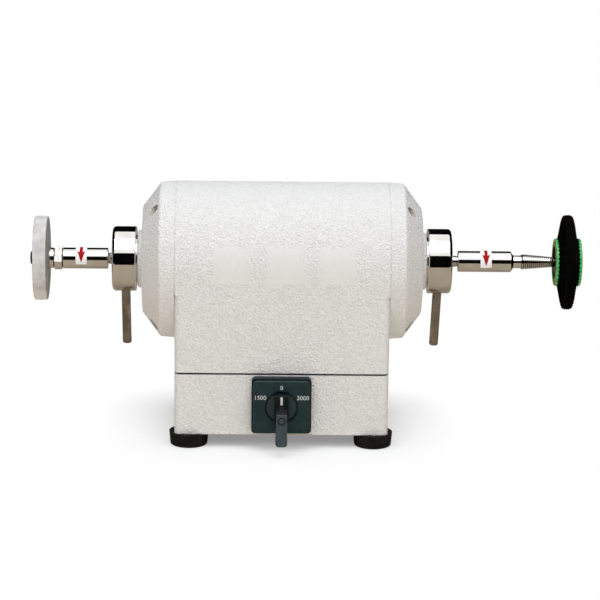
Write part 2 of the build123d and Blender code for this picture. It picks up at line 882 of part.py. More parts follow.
def cam_path(side):
    """The cam's centre line: a short helix from past the rest place to past the full stroke."""
    middle_radius = nose_radius + cam_depth / 2
    lead = stroke[side] * 360 / ejector_turn
    overrun = radians(cam_overrun)
    start = pin_place - lead * cam_overrun / 360
    height = lead * (ejector_turn + 2 * cam_overrun) / 360
    first_radius = (0, sin(overrun), cos(overrun))
    place = Plane(origin=(side * start, 0, axis_height), x_dir=first_radius, z_dir=(side, 0, 0))
    helix = Edge.make_helix(lead, height, middle_radius, lefthand=side == LEFT)
    return place.location * helix, first_radius


def ejector_ring(side):
    """Make one ejector ring, with its cam groove and the hole for its lever."""
    bore_radius = nose_radius + running_clearance
    outline = [
        (flange_face + ring_seat_play, bore_radius),
        (flange_face + ring_seat_play, ring_hub_radius),
        (ring_back, ring_hub_radius),
        (ring_back, ring_radius),
        (ring_front, ring_radius),
        (ring_front, ring_mouth_radius),
        (ring_seat, ring_mouth_radius),
        (ring_seat, bore_radius),
    ]
    path, first_radius = cam_path(side)
    with BuildPart() as ring:
        revolve(turned(side, *outline), axis=SHAFT)
        fillet(rims(ring, ring_front, ring_radius), ring_outer_edge)
        fillet(rims(ring, ring_back, ring_radius), ring_inner_edge)
        with BuildSketch(lever_plane(side).offset(lever_shoulder)):
            Circle(lever_tail_radius + thread_clearance)
        extrude(amount=-lever_shoulder - lever_tail_length - cam_clearance, mode=Mode.SUBTRACT)
        with BuildSketch(Plane(origin=path @ 0, x_dir=first_radius, z_dir=path % 0)):
            Rectangle(cam_depth + 2 * cam_clearance, 2 * cam_half_width)
        sweep(path=path, is_frenet=True, mode=Mode.SUBTRACT)
    save(ring, f"{SIDES[side]}_ejector_ring")


def ejector_lever(side):
    """Make the rod that turns one ejector ring."""
    plane = lever_plane(side)
    with BuildPart() as lever:
        with BuildSketch(plane.offset(lever_shoulder)):
            Circle(lever_radius)
        extrude(amount=lever_length - lever_shoulder)
        fillet(lever.faces().sort_by(Axis.Z)[0].edges(), lever_end_round)
        with BuildSketch(plane.offset(lever_shoulder)):
            Circle(lever_tail_radius)
        extrude(amount=-lever_shoulder - lever_tail_length)
    save(lever, f"{SIDES[side]}_ejector_lever")


# Pushers: tubes round the shaft that the cam pins drive out against the spindles
def pusher(side):
    """Make one pusher and its pin."""
    pusher_start = ring_front - pusher_length
    with BuildPart() as tube:
        revolve(washer(side, pusher_start, ring_front, pusher_bore_radius, pusher_radius), axis=SHAFT)
        with BuildSketch(Plane.XY.offset(axis_height)):
            with Locations((side * pin_place, 0)):
                Circle(pin_radius + seat_clearance)
        extrude(amount=nose_radius, mode=Mode.SUBTRACT)
    save(tube, f"{SIDES[side]}_pusher")
    with BuildPart() as pin:
        with BuildSketch(Plane.XY.offset(axis_height + pin_root)):
            with Locations((side * pin_place, 0)):
                Circle(pin_radius)
        extrude(amount=pin_reach - pin_root)
    save(pin, f"{SIDES[side]}_pusher_pin")


for side in SIDES:
    ejector_ring(side)
    ejector_lever(side)
    pusher(side)

# Circlips: open rings in the nose grooves that keep the ejector rings on
clip_start = circlip_in + running_clearance
clip_end = circlip_out - running_clearance
clip_inner = nose_radius - circlip_depth + seat_clearance
clip_outer = nose_radius + circlip_reach
with BuildPart() as circlips:
    for side in SIDES:
        revolve(washer(side, clip_start, clip_end, clip_inner, clip_outer), axis=SHAFT)
        with BuildSketch(end_plane(side, circlip_in)):
            with Locations((0, -nose_radius)):
                Rectangle(circlip_gap, 2 * circlip_reach + 2 * circlip_depth)
        extrude(amount=circlip_thickness, mode=Mode.SUBTRACT)
save(circlips, "ring_circlips")


# Left arbor: a sleeve on the taper, a ring with spanner flats and a stub for the wheel
def taper_bore(side):
    """The outline of a spindle's bore, which fits the taper nose of the shaft."""
    bottom = taper_length + bore_spare
    return [
        (mouth[side], 0),
        (mouth[side], taper_mouth_radius + running_clearance),
        (mouth[side] + bottom, taper_radius(bottom) + running_clearance),
        (mouth[side] + bottom, 0),
    ]


sleeve_end = mouth[LEFT] + left_sleeve_length
groove_radius = sleeve_radius - groove_depth
arbor_outline = [
    (mouth[LEFT], 0),
    (mouth[LEFT], sleeve_radius),
    (sleeve_end, sleeve_radius),
    (sleeve_end, groove_radius),
    (spanner_ring_start, groove_radius),
    (spanner_ring_start, spanner_ring_radius),
    (spanner_ring_end, spanner_ring_radius),
    (spanner_ring_end, groove_radius),
    (clamp_flange_start, groove_radius),
    (clamp_flange_start, wheel_stub_radius),
    (stub_end, wheel_stub_radius),
    (stub_end, 0),
]
with BuildPart() as left_arbor:
    revolve(turned(LEFT, *arbor_outline), axis=SHAFT)
    for place in (mouth[LEFT], sleeve_end):
        fillet(rims(left_arbor, place, sleeve_radius), sleeve_edge)
    with BuildSketch(end_plane(LEFT, spanner_ring_start)):
        Rectangle(3 * spanner_ring_radius, 3 * spanner_ring_radius)
        Rectangle(spanner_across, 4 * spanner_ring_radius, rotation=spanner_turn, mode=Mode.SUBTRACT)
    extrude(amount=spanner_ring_width, mode=Mode.SUBTRACT)
    revolve(turned(LEFT, *taper_bore(LEFT)), axis=SHAFT, mode=Mode.SUBTRACT)
    with BuildSketch(end_plane(LEFT, stub_end)):
        Circle(m6_radius + thread_clearance)
    extrude(amount=-wheel_screw_grip - hole_bottom, mode=Mode.SUBTRACT)
save(left_arbor, "left_arbor")

with BuildPart() as clamp_flange:
    with BuildSketch(end_plane(LEFT, clamp_flange_start)):
        Circle(clamp_flange_radius)
        Circle(wheel_stub_radius + register_clearance, mode=Mode.SUBTRACT)
    extrude(amount=clamp_flange_width)
    fillet(rims(clamp_flange, clamp_flange_start, clamp_flange_radius), sleeve_edge)
save(clamp_flange, "left_clamp_flange")

with BuildPart() as wheel:
    with BuildSketch(end_plane(LEFT, wheel_in)):
        Circle(wheel_radius)
        Circle(wheel_stub_radius + register_clearance, mode=Mode.SUBTRACT)
    extrude(amount=wheel_width)
    for place in (wheel_in, wheel_out):
        fillet(rims(wheel, place, wheel_radius), wheel_edge)
save(wheel, "polishing_wheel")

screw_head_in = wheel_out + wheel_screw_flange
screw_head_out = screw_head_in + wheel_screw_head
with BuildPart() as wheel_screw:
    with BuildSketch(end_plane(LEFT, wheel_out)):
        Circle(wheel_screw_flange_radius)
    extrude(amount=wheel_screw_flange)
    with BuildSketch(end_plane(LEFT, screw_head_in)):
        Circle(wheel_screw_head_radius)
    extrude(amount=wheel_screw_head)
    fillet(rims(wheel_screw, screw_head_out, wheel_screw_head_radius), wheel_screw_head / 2)
    with BuildSketch(end_plane(LEFT, screw_head_out)):
        RegularPolygon(m6_socket / 2, 6, major_radius=False)
    extrude(amount=-m6_socket_depth, mode=Mode.SUBTRACT)
    with BuildSketch(end_plane(LEFT, wheel_out)):
        Circle(m6_radius)
    extrude(amount=-wheel_stub_set_back - wheel_screw_grip)
save(wheel_screw, "wheel_screw")


# Right spindle: a sleeve on the taper, a short journal and a long threaded taper for the brush
def screw_taper_radius(place):
    """The radius of the threaded taper at a distance along the shaft."""
    share = (place - screw_taper_start) / screw_taper_length
    return screw_taper_start_radius + share * (screw_taper_tip_radius - screw_taper_start_radius)


spindle_outline = [
    (mouth[RIGHT], 0),
    (mouth[RIGHT], sleeve_radius),
    (right_sleeve_end, sleeve_radius),
    (journal_start, journal_radius),
    (screw_taper_start, journal_radius),
    (screw_taper_start, screw_taper_start_radius),
    (screw_taper_end, screw_taper_tip_radius),
    (screw_taper_end, 0),
]
with BuildPart() as right_spindle:
    revolve(turned(RIGHT, *spindle_outline), axis=SHAFT)
    fillet(rims(right_spindle, mouth[RIGHT], sleeve_radius), sleeve_edge)
    revolve(turned(RIGHT, *taper_bore(RIGHT)), axis=SHAFT, mode=Mode.SUBTRACT)
save(right_spindle, "right_taper_spindle")

# Brush: a hub screwed on the taper, an outer plate, and bristles on a backing ring between them
hub_bore_end = screw_taper_end + hole_bottom / 2
hub_bore = [
    (inner_plate_in, 0),
    (inner_plate_in, screw_taper_radius(inner_plate_in) + running_clearance),
    (hub_bore_end, screw_taper_radius(hub_bore_end) + running_clearance),
    (hub_bore_end, 0),
]
with BuildPart() as brush_hub:
    with BuildSketch(end_plane(RIGHT, inner_plate_in)):
        Circle(brush_plate_radius)
    extrude(amount=inner_plate_width)
    for place in (inner_plate_in, inner_plate_out):
        fillet(rims(brush_hub, place, brush_plate_radius), plate_edge)
    with BuildSketch(end_plane(RIGHT, inner_plate_out)):
        Circle(brush_core_radius)
    extrude(amount=bristle_gap)
    with BuildSketch(end_plane(RIGHT, inner_plate_in)):
        Circle(plate_recess_radius)
    extrude(amount=plate_recess_depth, mode=Mode.SUBTRACT)
    revolve(turned(RIGHT, *hub_bore), axis=SHAFT, mode=Mode.SUBTRACT)
save(brush_hub, "brush_hub")

with BuildPart() as brush_cap:
    with BuildSketch(end_plane(RIGHT, outer_plate_in)):
        Circle(brush_plate_radius)
    extrude(amount=outer_plate_width)
    for place in (outer_plate_in, outer_plate_out):
        fillet(rims(brush_cap, place, brush_plate_radius), plate_edge)
    with BuildSketch(end_plane(RIGHT, outer_plate_out)):
        Circle(plate_recess_radius)
    extrude(amount=-plate_recess_depth, mode=Mode.SUBTRACT)
save(brush_cap, "brush_cap")


def bristle(row, number):
    """One square strand from inside the backing ring out to the rim, leaning in with its row."""
    row_step = row - (bristle_rows - 1) / 2
    turn = 2 * pi * (number + row % 2 / 2) / bristles_in_row
    outwards = Vector(0, cos(turn), sin(turn))
    middle = Vector(brush_middle, 0, axis_height)
    root_radius = (brush_core_radius + backing_radius) / 2
    tip_radius = brush_radius - bristle_rim_drop * row_step**2
    root = middle + Vector(row_step * bristle_root_pitch, 0, 0) + outwards * root_radius
    tip = middle + Vector(row_step * bristle_tip_pitch, 0, 0) + outwards * tip_radius
    place = Plane(origin=root, x_dir=tip - root, z_dir=(0, -sin(turn), cos(turn)))
    strand = Box(
        (tip - root).length,
        bristle_width,
        bristle_thickness,
        align=(Align.MIN, Align.CENTER, Align.CENTER),
    )
    return place.location * strand


bristles = [bristle(row, number) for row in range(bristle_rows) for number in range(bristles_in_row)]
backing_in = inner_plate_out + backing_play
backing_out = outer_plate_in - backing_play
backing_bore = brush_core_radius + backing_play
with BuildPart() as brush_bristles:
    revolve(washer(RIGHT, backing_in, backing_out, backing_bore, backing_radius), axis=SHAFT)
    add(bristles)
save(brush_bristles, "brush_bristles")

# Switch: a frame and a dial plate on the front of the base, with a round recess for the knob
switch_screw_seat = frame_front + m4_head_height
with BuildPart() as switch_frame:
    with BuildSketch(front_plane(front_wall)):
        with Locations((0, switch_height)):
            RectangleRounded(frame_width, frame_height, frame_corner)
    extrude(amount=frame_depth)
    with BuildSketch(front_plane(frame_front)):
        with Locations((0, switch_height)):
            RectangleRounded(
                dial_width - 2 * dial_groove_inset,
                dial_height - 2 * dial_groove_inset,
                frame_corner - dial_groove_inset,
            )
    extrude(amount=dial_groove)
    with BuildSketch(front_plane(dial_back)):
        with Locations((0, switch_height)):
            Circle(switch_shaft_hole_radius)
            with GridLocations(switch_screw_spread, switch_screw_spread, 2, 2):
                Circle(m4_radius + through_clearance)
    extrude(amount=-dial_groove - frame_depth, mode=Mode.SUBTRACT)
    with BuildSketch(front_plane(dial_back)):
        with Locations((0, switch_height)):
            with GridLocations(switch_screw_spread, switch_screw_spread, 2, 2):
                Circle(m4_head_radius + loose_clearance)
    extrude(amount=-dial_groove - m4_head_height, mode=Mode.SUBTRACT)
save(switch_frame, "switch_frame")

with BuildPart() as dial_plate:
    with BuildSketch(front_plane(dial_back)):
        with Locations((0, switch_height)):
            RectangleRounded(dial_width, dial_height, frame_corner)
    extrude(amount=dial_depth)
    fillet(dial_plate.faces().sort_by(Axis.Y)[0].edges(), dial_edge)
    with BuildSketch(front_plane(dial_back)):
        with Locations((0, switch_height)):
            Circle(switch_shaft_across)
    extrude(amount=dial_depth, mode=Mode.SUBTRACT)
    with BuildSketch(front_plane(dial_front)):
        with Locations((0, switch_height)):
            Circle(skirt_radius + skirt_play)
    extrude(amount=-dial_recess, mode=Mode.SUBTRACT)
save(dial_plate, "switch_dial_plate")

with BuildPart() as switch_screws:
    with BuildSketch(front_plane(switch_screw_seat)):
        with Locations((0, switch_height)):
            with GridLocations(switch_screw_spread, switch_screw_spread, 2, 2):
                Circle(m4_head_radius)
    extrude(amount=m4_head_height)
    with BuildSketch(front_plane(switch_screw_seat)):
        with Locations((0, switch_height)):
            with GridLocations(switch_screw_spread, switch_screw_spread, 2, 2):
                Circle(m4_radius)
    extrude(amount=switch_screw_seat - contact_front - switch_screw_grip)
save(switch_screws, "switch_screws")

# Contact block: a stack of square wafers behind the front wall, with the switch shaft through them
shaft_corner_radius = switch_shaft_across / 2**0.5
with BuildPart() as contact_stack:
    with BuildSketch(front_plane(contact_front)):
        with Locations((0, switch_height)):
            RectangleRounded(contact_block, contact_block, frame_corner)
    extrude(amount=contact_front - contact_back)
    for wafer in range(1, contact_wafers):
        with BuildSketch(front_plane(contact_front + wafer * contact_wafer)):
            with Locations((0, switch_height)):
                Rectangle(2 * contact_block, 2 * contact_block)
                inner_block = contact_block - 2 * wafer_groove
                RectangleRounded(inner_block, inner_block, frame_corner, mode=Mode.SUBTRACT)
        extrude(amount=wafer_gap, mode=Mode.SUBTRACT)
    with BuildSketch(front_plane(contact_front)):
        with Locations((0, switch_height)):
            Circle(shaft_corner_radius + through_clearance)
    extrude(amount=contact_front - contact_back, mode=Mode.SUBTRACT)
    with BuildSketch(front_plane(contact_front)):
        with Locations((0, switch_height)):
            with GridLocations(switch_screw_spread, switch_screw_spread, 2, 2):
                Circle(m4_radius + thread_clearance)
    extrude(amount=-switch_screw_grip - hole_bottom, mode=Mode.SUBTRACT)
save(contact_stack, "switch_contact_block")

# Switch shaft, knob, lever and screw cap: they turn together
shaft_in_knob = bar_depth / 2
with BuildPart() as switch_shaft:
    with BuildSketch(front_plane(skirt_front - shaft_in_knob)):
        with Locations((0, switch_height)):
            Rectangle(switch_shaft_across, switch_shaft_across)
    extrude(amount=skirt_front - shaft_in_knob - contact_back)
save(switch_shaft, "switch_shaft")

with BuildPart() as knob:
    with BuildSketch(front_plane(skirt_back)):
        with Locations((0, switch_height)):
            Circle(skirt_radius)
    extrude(amount=skirt_thickness)
    fillet(knob.faces().sort_by(Axis.Y)[0].edges(), skirt_edge)
    with BuildSketch(front_plane(skirt_front)):
        with Locations((0, switch_height)):
            RectangleRounded(bar_width, bar_height, bar_edge)
    extrude(amount=bar_depth)
    fillet(knob.faces().sort_by(Axis.Y)[0].edges(), bar_edge / 2)
    with BuildSketch(front_plane(skirt_back)):
        with Locations((0, switch_height)):
            hole_across = switch_shaft_across + 2 * seat_clearance
            Rectangle(hole_across, hole_across)
    extrude(amount=skirt_thickness + shaft_in_knob + seat_clearance, mode=Mode.SUBTRACT)
save(knob, "switch_knob")

grip_top = switch_height + grip_rise
grip_bottom = switch_height - grip_drop
with BuildPart() as lever_grip:
    with BuildSketch(front_plane(bar_front)) as grip_face:
        with BuildLine():
            Polyline(
                (-grip_bottom_width / 2, grip_bottom),
                (grip_bottom_width / 2, grip_bottom),
                (grip_top_width / 2, grip_top),
                (-grip_top_width / 2, grip_top),
                close=True,
            )
        make_face()
        fillet(grip_face.vertices().group_by(Axis.Z)[0], grip_corner)
    extrude(amount=grip_depth)
    with BuildSketch(Plane.YZ):
        with BuildLine():
            Polyline(
                (bar_front, grip_top),
                (bar_front, grip_bottom),
                (grip_front, grip_bottom),
                (grip_front, grip_top - grip_slope),
                close=True,
            )
        make_face()
    extrude(amount=grip_bottom_width, both=True, mode=Mode.INTERSECT)
    fillet(lever_grip.faces().sort_by(Axis.Y)[0].edges(), grip_edge)
    with BuildSketch(front_plane(grip_front)):
        with Locations((0, switch_height - cap_drop)):
            Circle(cap_radius + running_clearance)
    extrude(amount=-cap_depth, mode=Mode.SUBTRACT)
save(lever_grip, "switch_lever")

with BuildPart() as screw_cap:
    with BuildSketch(front_plane(grip_front + cap_depth)):
        with Locations((0, switch_height - cap_drop)):
            Circle(cap_radius)
    extrude(amount=cap_depth)
save(screw_cap, "switch_screw_cap")

# Capacitor: a can lying on the bottom plate under a strap, with two tabs
capacitor_z = plate_top + capacitor_radius + running_clearance
capacitor_end = capacitor_x + capacitor_length / 2
tab_length, tab_thickness, tab_width = capacitor_tab
with BuildPart() as capacitor:
    with BuildSketch(Plane.YZ.offset(capacitor_end)):
        with Locations((capacitor_y, capacitor_z)):
            Circle(capacitor_radius)
    extrude(amount=-capacitor_length)
    with BuildSketch(Plane.YZ.offset(capacitor_end)):
        with Locations((capacitor_y, capacitor_z)):
            with GridLocations(capacitor_tab_spread, 1, 2, 1):
                Rectangle(tab_thickness, tab_width)
    extrude(amount=tab_length)
save(capacitor, "run_capacitor")

strap_inner = capacitor_radius + running_clearance
strap_outer = strap_inner + strap_thickness
strap_leg = capacitor_z - plate_top
with BuildPart() as strap:
    with BuildSketch(Plane.YZ.offset(capacitor_x - strap_width / 2)):
        with Locations((capacitor_y, capacitor_z)):
            Circle(strap_outer)
            Rectangle(2 * strap_outer, strap_leg, align=(Align.CENTER, Align.MAX))
        with Locations((capacitor_y, plate_top)):
            Rectangle(2 * (strap_outer + strap_foot), strap_thickness, align=(Align.CENTER, Align.MIN))
        with Locations((capacitor_y, capacitor_z)):
            Circle(strap_inner, mode=Mode.SUBTRACT)
            Rectangle(2 * strap_inner, strap_outer, align=(Align.CENTER, Align.MAX), mode=Mode.SUBTRACT)
        with Locations((capacitor_y, plate_top)):
            Rectangle(4 * strap_outer, strap_outer, align=(Align.CENTER, Align.MAX), mode=Mode.SUBTRACT)
    extrude(amount=strap_width)
save(strap, "capacitor_strap")

# Terminal block: on the bottom plate, with a row of wire screws
terminal_length, terminal_width, terminal_height = terminal_size
with BuildPart() as terminal_block:
    with BuildSketch(Plane.XY.offset(plate_top)):
        with Locations(terminal_place):
            Rectangle(terminal_length, terminal_width)
    extrude(amount=terminal_height)
    with BuildSketch(Plane.XY.offset(plate_top + terminal_height)):
        with Locations(terminal_place):
            with GridLocations(terminal_pitch, 1, terminal_ways, 1):
                Circle(terminal_hole_radius)
    extrude(amount=-terminal_hole_depth, mode=Mode.SUBTRACT)
save(terminal_block, "terminal_block")

# Cable gland: through the rear wall, with a nut inside
gland_end = gland_hex_thickness + gland_dome_length
with BuildPart() as gland:
    with BuildSketch(front_plane(body_radius)):
        with Locations(gland_place):
            Circle(gland_thread_radius)
    extrude(amount=gland_thread_length)
    with BuildSketch(front_plane(body_radius)):
        with Locations(gland_place):
            RegularPolygon(gland_hex_across / 2, 6, major_radius=False)
    extrude(amount=-gland_hex_thickness)
    with BuildSketch(front_plane(body_radius + gland_hex_thickness)):
        with Locations(gland_place):
            Circle(gland_dome_radius)
    extrude(amount=-gland_dome_length)
    fillet(gland.faces().sort_by(Axis.Y)[-1].edges(), gland_dome_edge)
    with BuildSketch(front_plane(body_radius - gland_thread_length)):
        with Locations(gland_place):
            Circle(gland_bore_radius)
    extrude(amount=-gland_thread_length - gland_end, mode=Mode.SUBTRACT)
save(gland, "cable_gland")

with BuildPart() as gland_nut:
    with BuildSketch(front_plane(body_radius - base_wall)):
        with Locations(gland_place):
            RegularPolygon(gland_nut_across / 2, 6, major_radius=False)
            Circle(gland_thread_radius + thread_clearance, mode=Mode.SUBTRACT)
    extrude(amount=gland_nut_thickness)
save(gland_nut, "gland_nut")
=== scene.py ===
"""Looks of a double-ended bench polishing machine: finishes, modelled detail, studio and camera.

Sizes are in metres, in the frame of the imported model: +X runs along the motor shaft towards the
brush, -Y is the front with the switch and +Z is up. Round the shaft, an angle of 0 faces the front
and 90 degrees faces up. Colours are as seen, in steps of 0 to 255.
"""

import json
import logging
import math
import random
from dataclasses import dataclass
from enum import Enum
from functools import lru_cache
from typing import Any, Iterable

import bmesh
import bpy
from mathutils import Matrix, Vector, noise


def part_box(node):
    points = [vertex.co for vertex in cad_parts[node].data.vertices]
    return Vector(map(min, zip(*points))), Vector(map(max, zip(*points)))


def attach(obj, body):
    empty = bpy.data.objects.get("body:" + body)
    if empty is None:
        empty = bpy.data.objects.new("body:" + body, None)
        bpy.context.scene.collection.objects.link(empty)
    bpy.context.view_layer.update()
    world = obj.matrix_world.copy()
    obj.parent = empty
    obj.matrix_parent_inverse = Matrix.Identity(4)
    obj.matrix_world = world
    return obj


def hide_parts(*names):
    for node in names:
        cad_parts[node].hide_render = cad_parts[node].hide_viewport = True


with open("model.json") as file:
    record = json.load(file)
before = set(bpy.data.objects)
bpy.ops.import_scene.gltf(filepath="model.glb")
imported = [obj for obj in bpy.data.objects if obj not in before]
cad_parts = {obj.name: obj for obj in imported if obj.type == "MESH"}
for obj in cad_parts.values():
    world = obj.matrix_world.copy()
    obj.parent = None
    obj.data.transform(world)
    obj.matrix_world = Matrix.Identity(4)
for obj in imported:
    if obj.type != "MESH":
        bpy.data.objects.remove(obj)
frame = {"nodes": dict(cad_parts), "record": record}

Colour = tuple[int, int, int]
Triple = tuple[float, float, float]
Point = tuple[float, float]
Socket = bpy.types.NodeSocket
Material = bpy.types.Material
Mesh = bmesh.types.BMesh

LOG = logging.getLogger("polishing_machine")
MM = 0.001
SHAFT_AXIS = (1.0, 0.0, 0.0)
ACROSS_SHAFT = (0.0, 1.0, 1.0)
UPRIGHT = Matrix.Rotation(math.radians(90), 4, "X")
WHITE = (1.0, 1.0, 1.0, 1.0)
WELD = 0.001 * MM
BAND_BLUR = 0.05 * MM
WAVE_LENGTH = 0.314
GROOVE_WIDTH = 0.8 * MM
GROOVE_RADIUS = 10.812 * MM
FLATS_WIDTH = 7.7 * MM
FLATS_RADIUS = 11.9 * MM
SKIRT_DEPTH = 2.1 * MM
CREST_DROP = 1.0 * MM
SLEEVE_CHAMFER = 3.0 * MM
JOURNAL_LENGTH = 8.2 * MM
TAPER_LENGTH = 55.8 * MM
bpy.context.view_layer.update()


@lru_cache(maxsize=None)
def corners_of(node: str) -> tuple[Vector, Vector]:
    """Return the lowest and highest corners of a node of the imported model."""
    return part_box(node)


def middle_of(node: str) -> Vector:
    """Return the middle of a node's box."""
    low, high = corners_of(node)
    return (low + high) / 2


def half_of(node: str) -> Vector:
    """Return half the size of a node's box."""
    low, high = corners_of(node)
    return (high - low) / 2


@lru_cache(maxsize=None)
def shaft_centre() -> Vector:
    """Return the point on the shaft's axis in the middle of the machine."""
    return middle_of("motor_shaft") * Vector(ACROSS_SHAFT)


def round_shaft(x: float, radius: float, angle: float) -> Vector:
    """Return a point given round the shaft.

    Args:
        x: Place along the shaft.
        radius: Distance from the shaft's axis.
        angle: Angle in radians from the front, positive upwards.

    Returns:
        The point in the frame of the model.
    """
    return shaft_centre() + Vector((x, -radius * math.cos(angle), radius * math.sin(angle)))


def linear(colour: Colour) -> tuple[float, float, float, float]:
    """Turn a colour as seen into the linear colour that a shader takes, by the sRGB curve."""
    parts = [step / 255 for step in colour]
    return (*(p / 12.92 if p <= 0.04045 else ((p + 0.055) / 1.055) ** 2.4 for p in parts), 1.0)


def darker(colour: Colour, share: float) -> Colour:
    """Return a share of a colour."""
    return tuple(int(step * share) for step in colour)


class Grain(Enum):
    """The way that the marks of a finish run, as the stretch of its pattern along X, Y and Z."""

    EVEN = (1.0, 1.0, 1.0)
    TURNED = (1.0, 0.04, 0.04)
    UPRIGHT = (1.0, 1.0, 0.06)
    SHEET = (0.08, 1.0, 1.0)


class Axis(Enum):
    """An axis of the model's frame."""

    X = "X"
    Y = "Y"
    Z = "Z"


class Side(Enum):
    """An end of the machine, as it begins the names of its pieces."""

    LEFT = "left"
    RIGHT = "right"


class Rounding(Enum):
    """What a bevel rounds: the edges of a solid or the corners of a sheet."""

    EDGES = "EDGES"
    CORNERS = "VERTICES"


class Facing(Enum):
    """The way that a card faces, as the degrees and the axis that turn it from lying flat."""

    UP = (0, "X")
    FRONT = (90, "X")
    SIDE = (90, "Y")


class Graph:
    """A tree of shader nodes, added and joined by short calls."""

    def __init__(self, tree: bpy.types.NodeTree) -> None:
        """Take the tree to add to."""
        self.tree = tree

    def feed(self, socket: Socket, value: Any) -> None:
        """Fill a socket.

        Args:
            socket: The socket.
            value: Another socket to link, or a plain value to set.
        """
        if isinstance(value, Socket):
            self.tree.links.new(value, socket)
        else:
            socket.default_value = value

    def add(self, kind: str, inputs: dict[str | int, Any] | None = None, **settings: Any) -> bpy.types.Node:
        """Add a node.

        Args:
            kind: Blender's name for the node type.
            inputs: Sockets by name or number, each with a value or a socket to link.
            settings: Other properties of the node.

        Returns:
            The new node.
        """
        node = self.tree.nodes.new(kind)
        for name, value in settings.items():
            setattr(node, name, value)
        for name, value in (inputs or {}).items():
            self.feed(node.inputs[name], value)
        return node

    def level(self, value: Socket, low: Any, high: Any, start: float = 0.35, end: float = 0.65) -> Socket:
        """Stretch a pattern between two values.

        Args:
            value: The pattern.
            low: Result where the pattern is at start or under it.
            high: Result where the pattern is at end or over it.
            start: Pattern strength that gives low.
            end: Pattern strength that gives high.

        Returns:
            The stretched pattern.
        """
        inputs = {"Value": value, "From Min": start, "From Max": end, "To Min": low, "To Max": high}
        return self.add("ShaderNodeMapRange", inputs).outputs["Result"]

    def rise(self, value: Socket, start: float, end: float) -> Socket:
        """Return 0 up to start, then more, and 1 from end on."""
        return self.level(value, 0.0, 1.0, start, end)

    def fall(self, value: Socket, start: float, end: float) -> Socket:
        """Return 1 up to start, then less, and 0 from end on."""
        return self.level(value, 1.0, 0.0, start, end)

    def window(self, value: Socket, low: float, high: float) -> Socket:
        """Return 1 where a length lies between low and high and 0 past them."""
        return self.times(self.rise(value, low, low + BAND_BLUR), self.fall(value, high - BAND_BLUR, high))

    def mix(self, amount: Socket, under: Any, over: Any) -> Socket:
        """Lay one colour over another by an amount from 0 to 1 and return the result."""
        return self.add("ShaderNodeMix", {0: amount, 6: under, 7: over}, data_type="RGBA").outputs[2]

    def sums(self, operation: str, first: Any, second: Any) -> Socket:
        """Join two numbers by a sum such as ADD or MAXIMUM and return the result."""
        return self.add("ShaderNodeMath", {0: first, 1: second}, operation=operation).outputs[0]

    def times(self, first: Any, second: Any) -> Socket:
        """Return the product of two numbers."""
        return self.sums("MULTIPLY", first, second)

    def vector(self, operation: str, first: Any, second: Any = (0.0, 0.0, 0.0)) -> Socket:
        """Join two points by a sum such as SUBTRACT, MULTIPLY or MAXIMUM and return the result."""
        return self.add("ShaderNodeVectorMath", {0: first, 1: second}, operation=operation).outputs["Vector"]

    def length(self, point: Socket) -> Socket:
        """Return the distance of a point from the origin."""
        return self.add("ShaderNodeVectorMath", {0: point}, operation="LENGTH").outputs["Value"]

    def seen(self) -> Socket:
        """Tell the rays that show a surface from those that carry its light.

        Returns:
            1 for rays from the camera, a mirror or glass, else 0.
        """
        rays = self.add("ShaderNodeLightPath").outputs
        mirrored = self.sums("MAXIMUM", rays["Is Glossy Ray"], rays["Is Transmission Ray"])
        return self.sums("MAXIMUM", rays["Is Camera Ray"], mirrored)


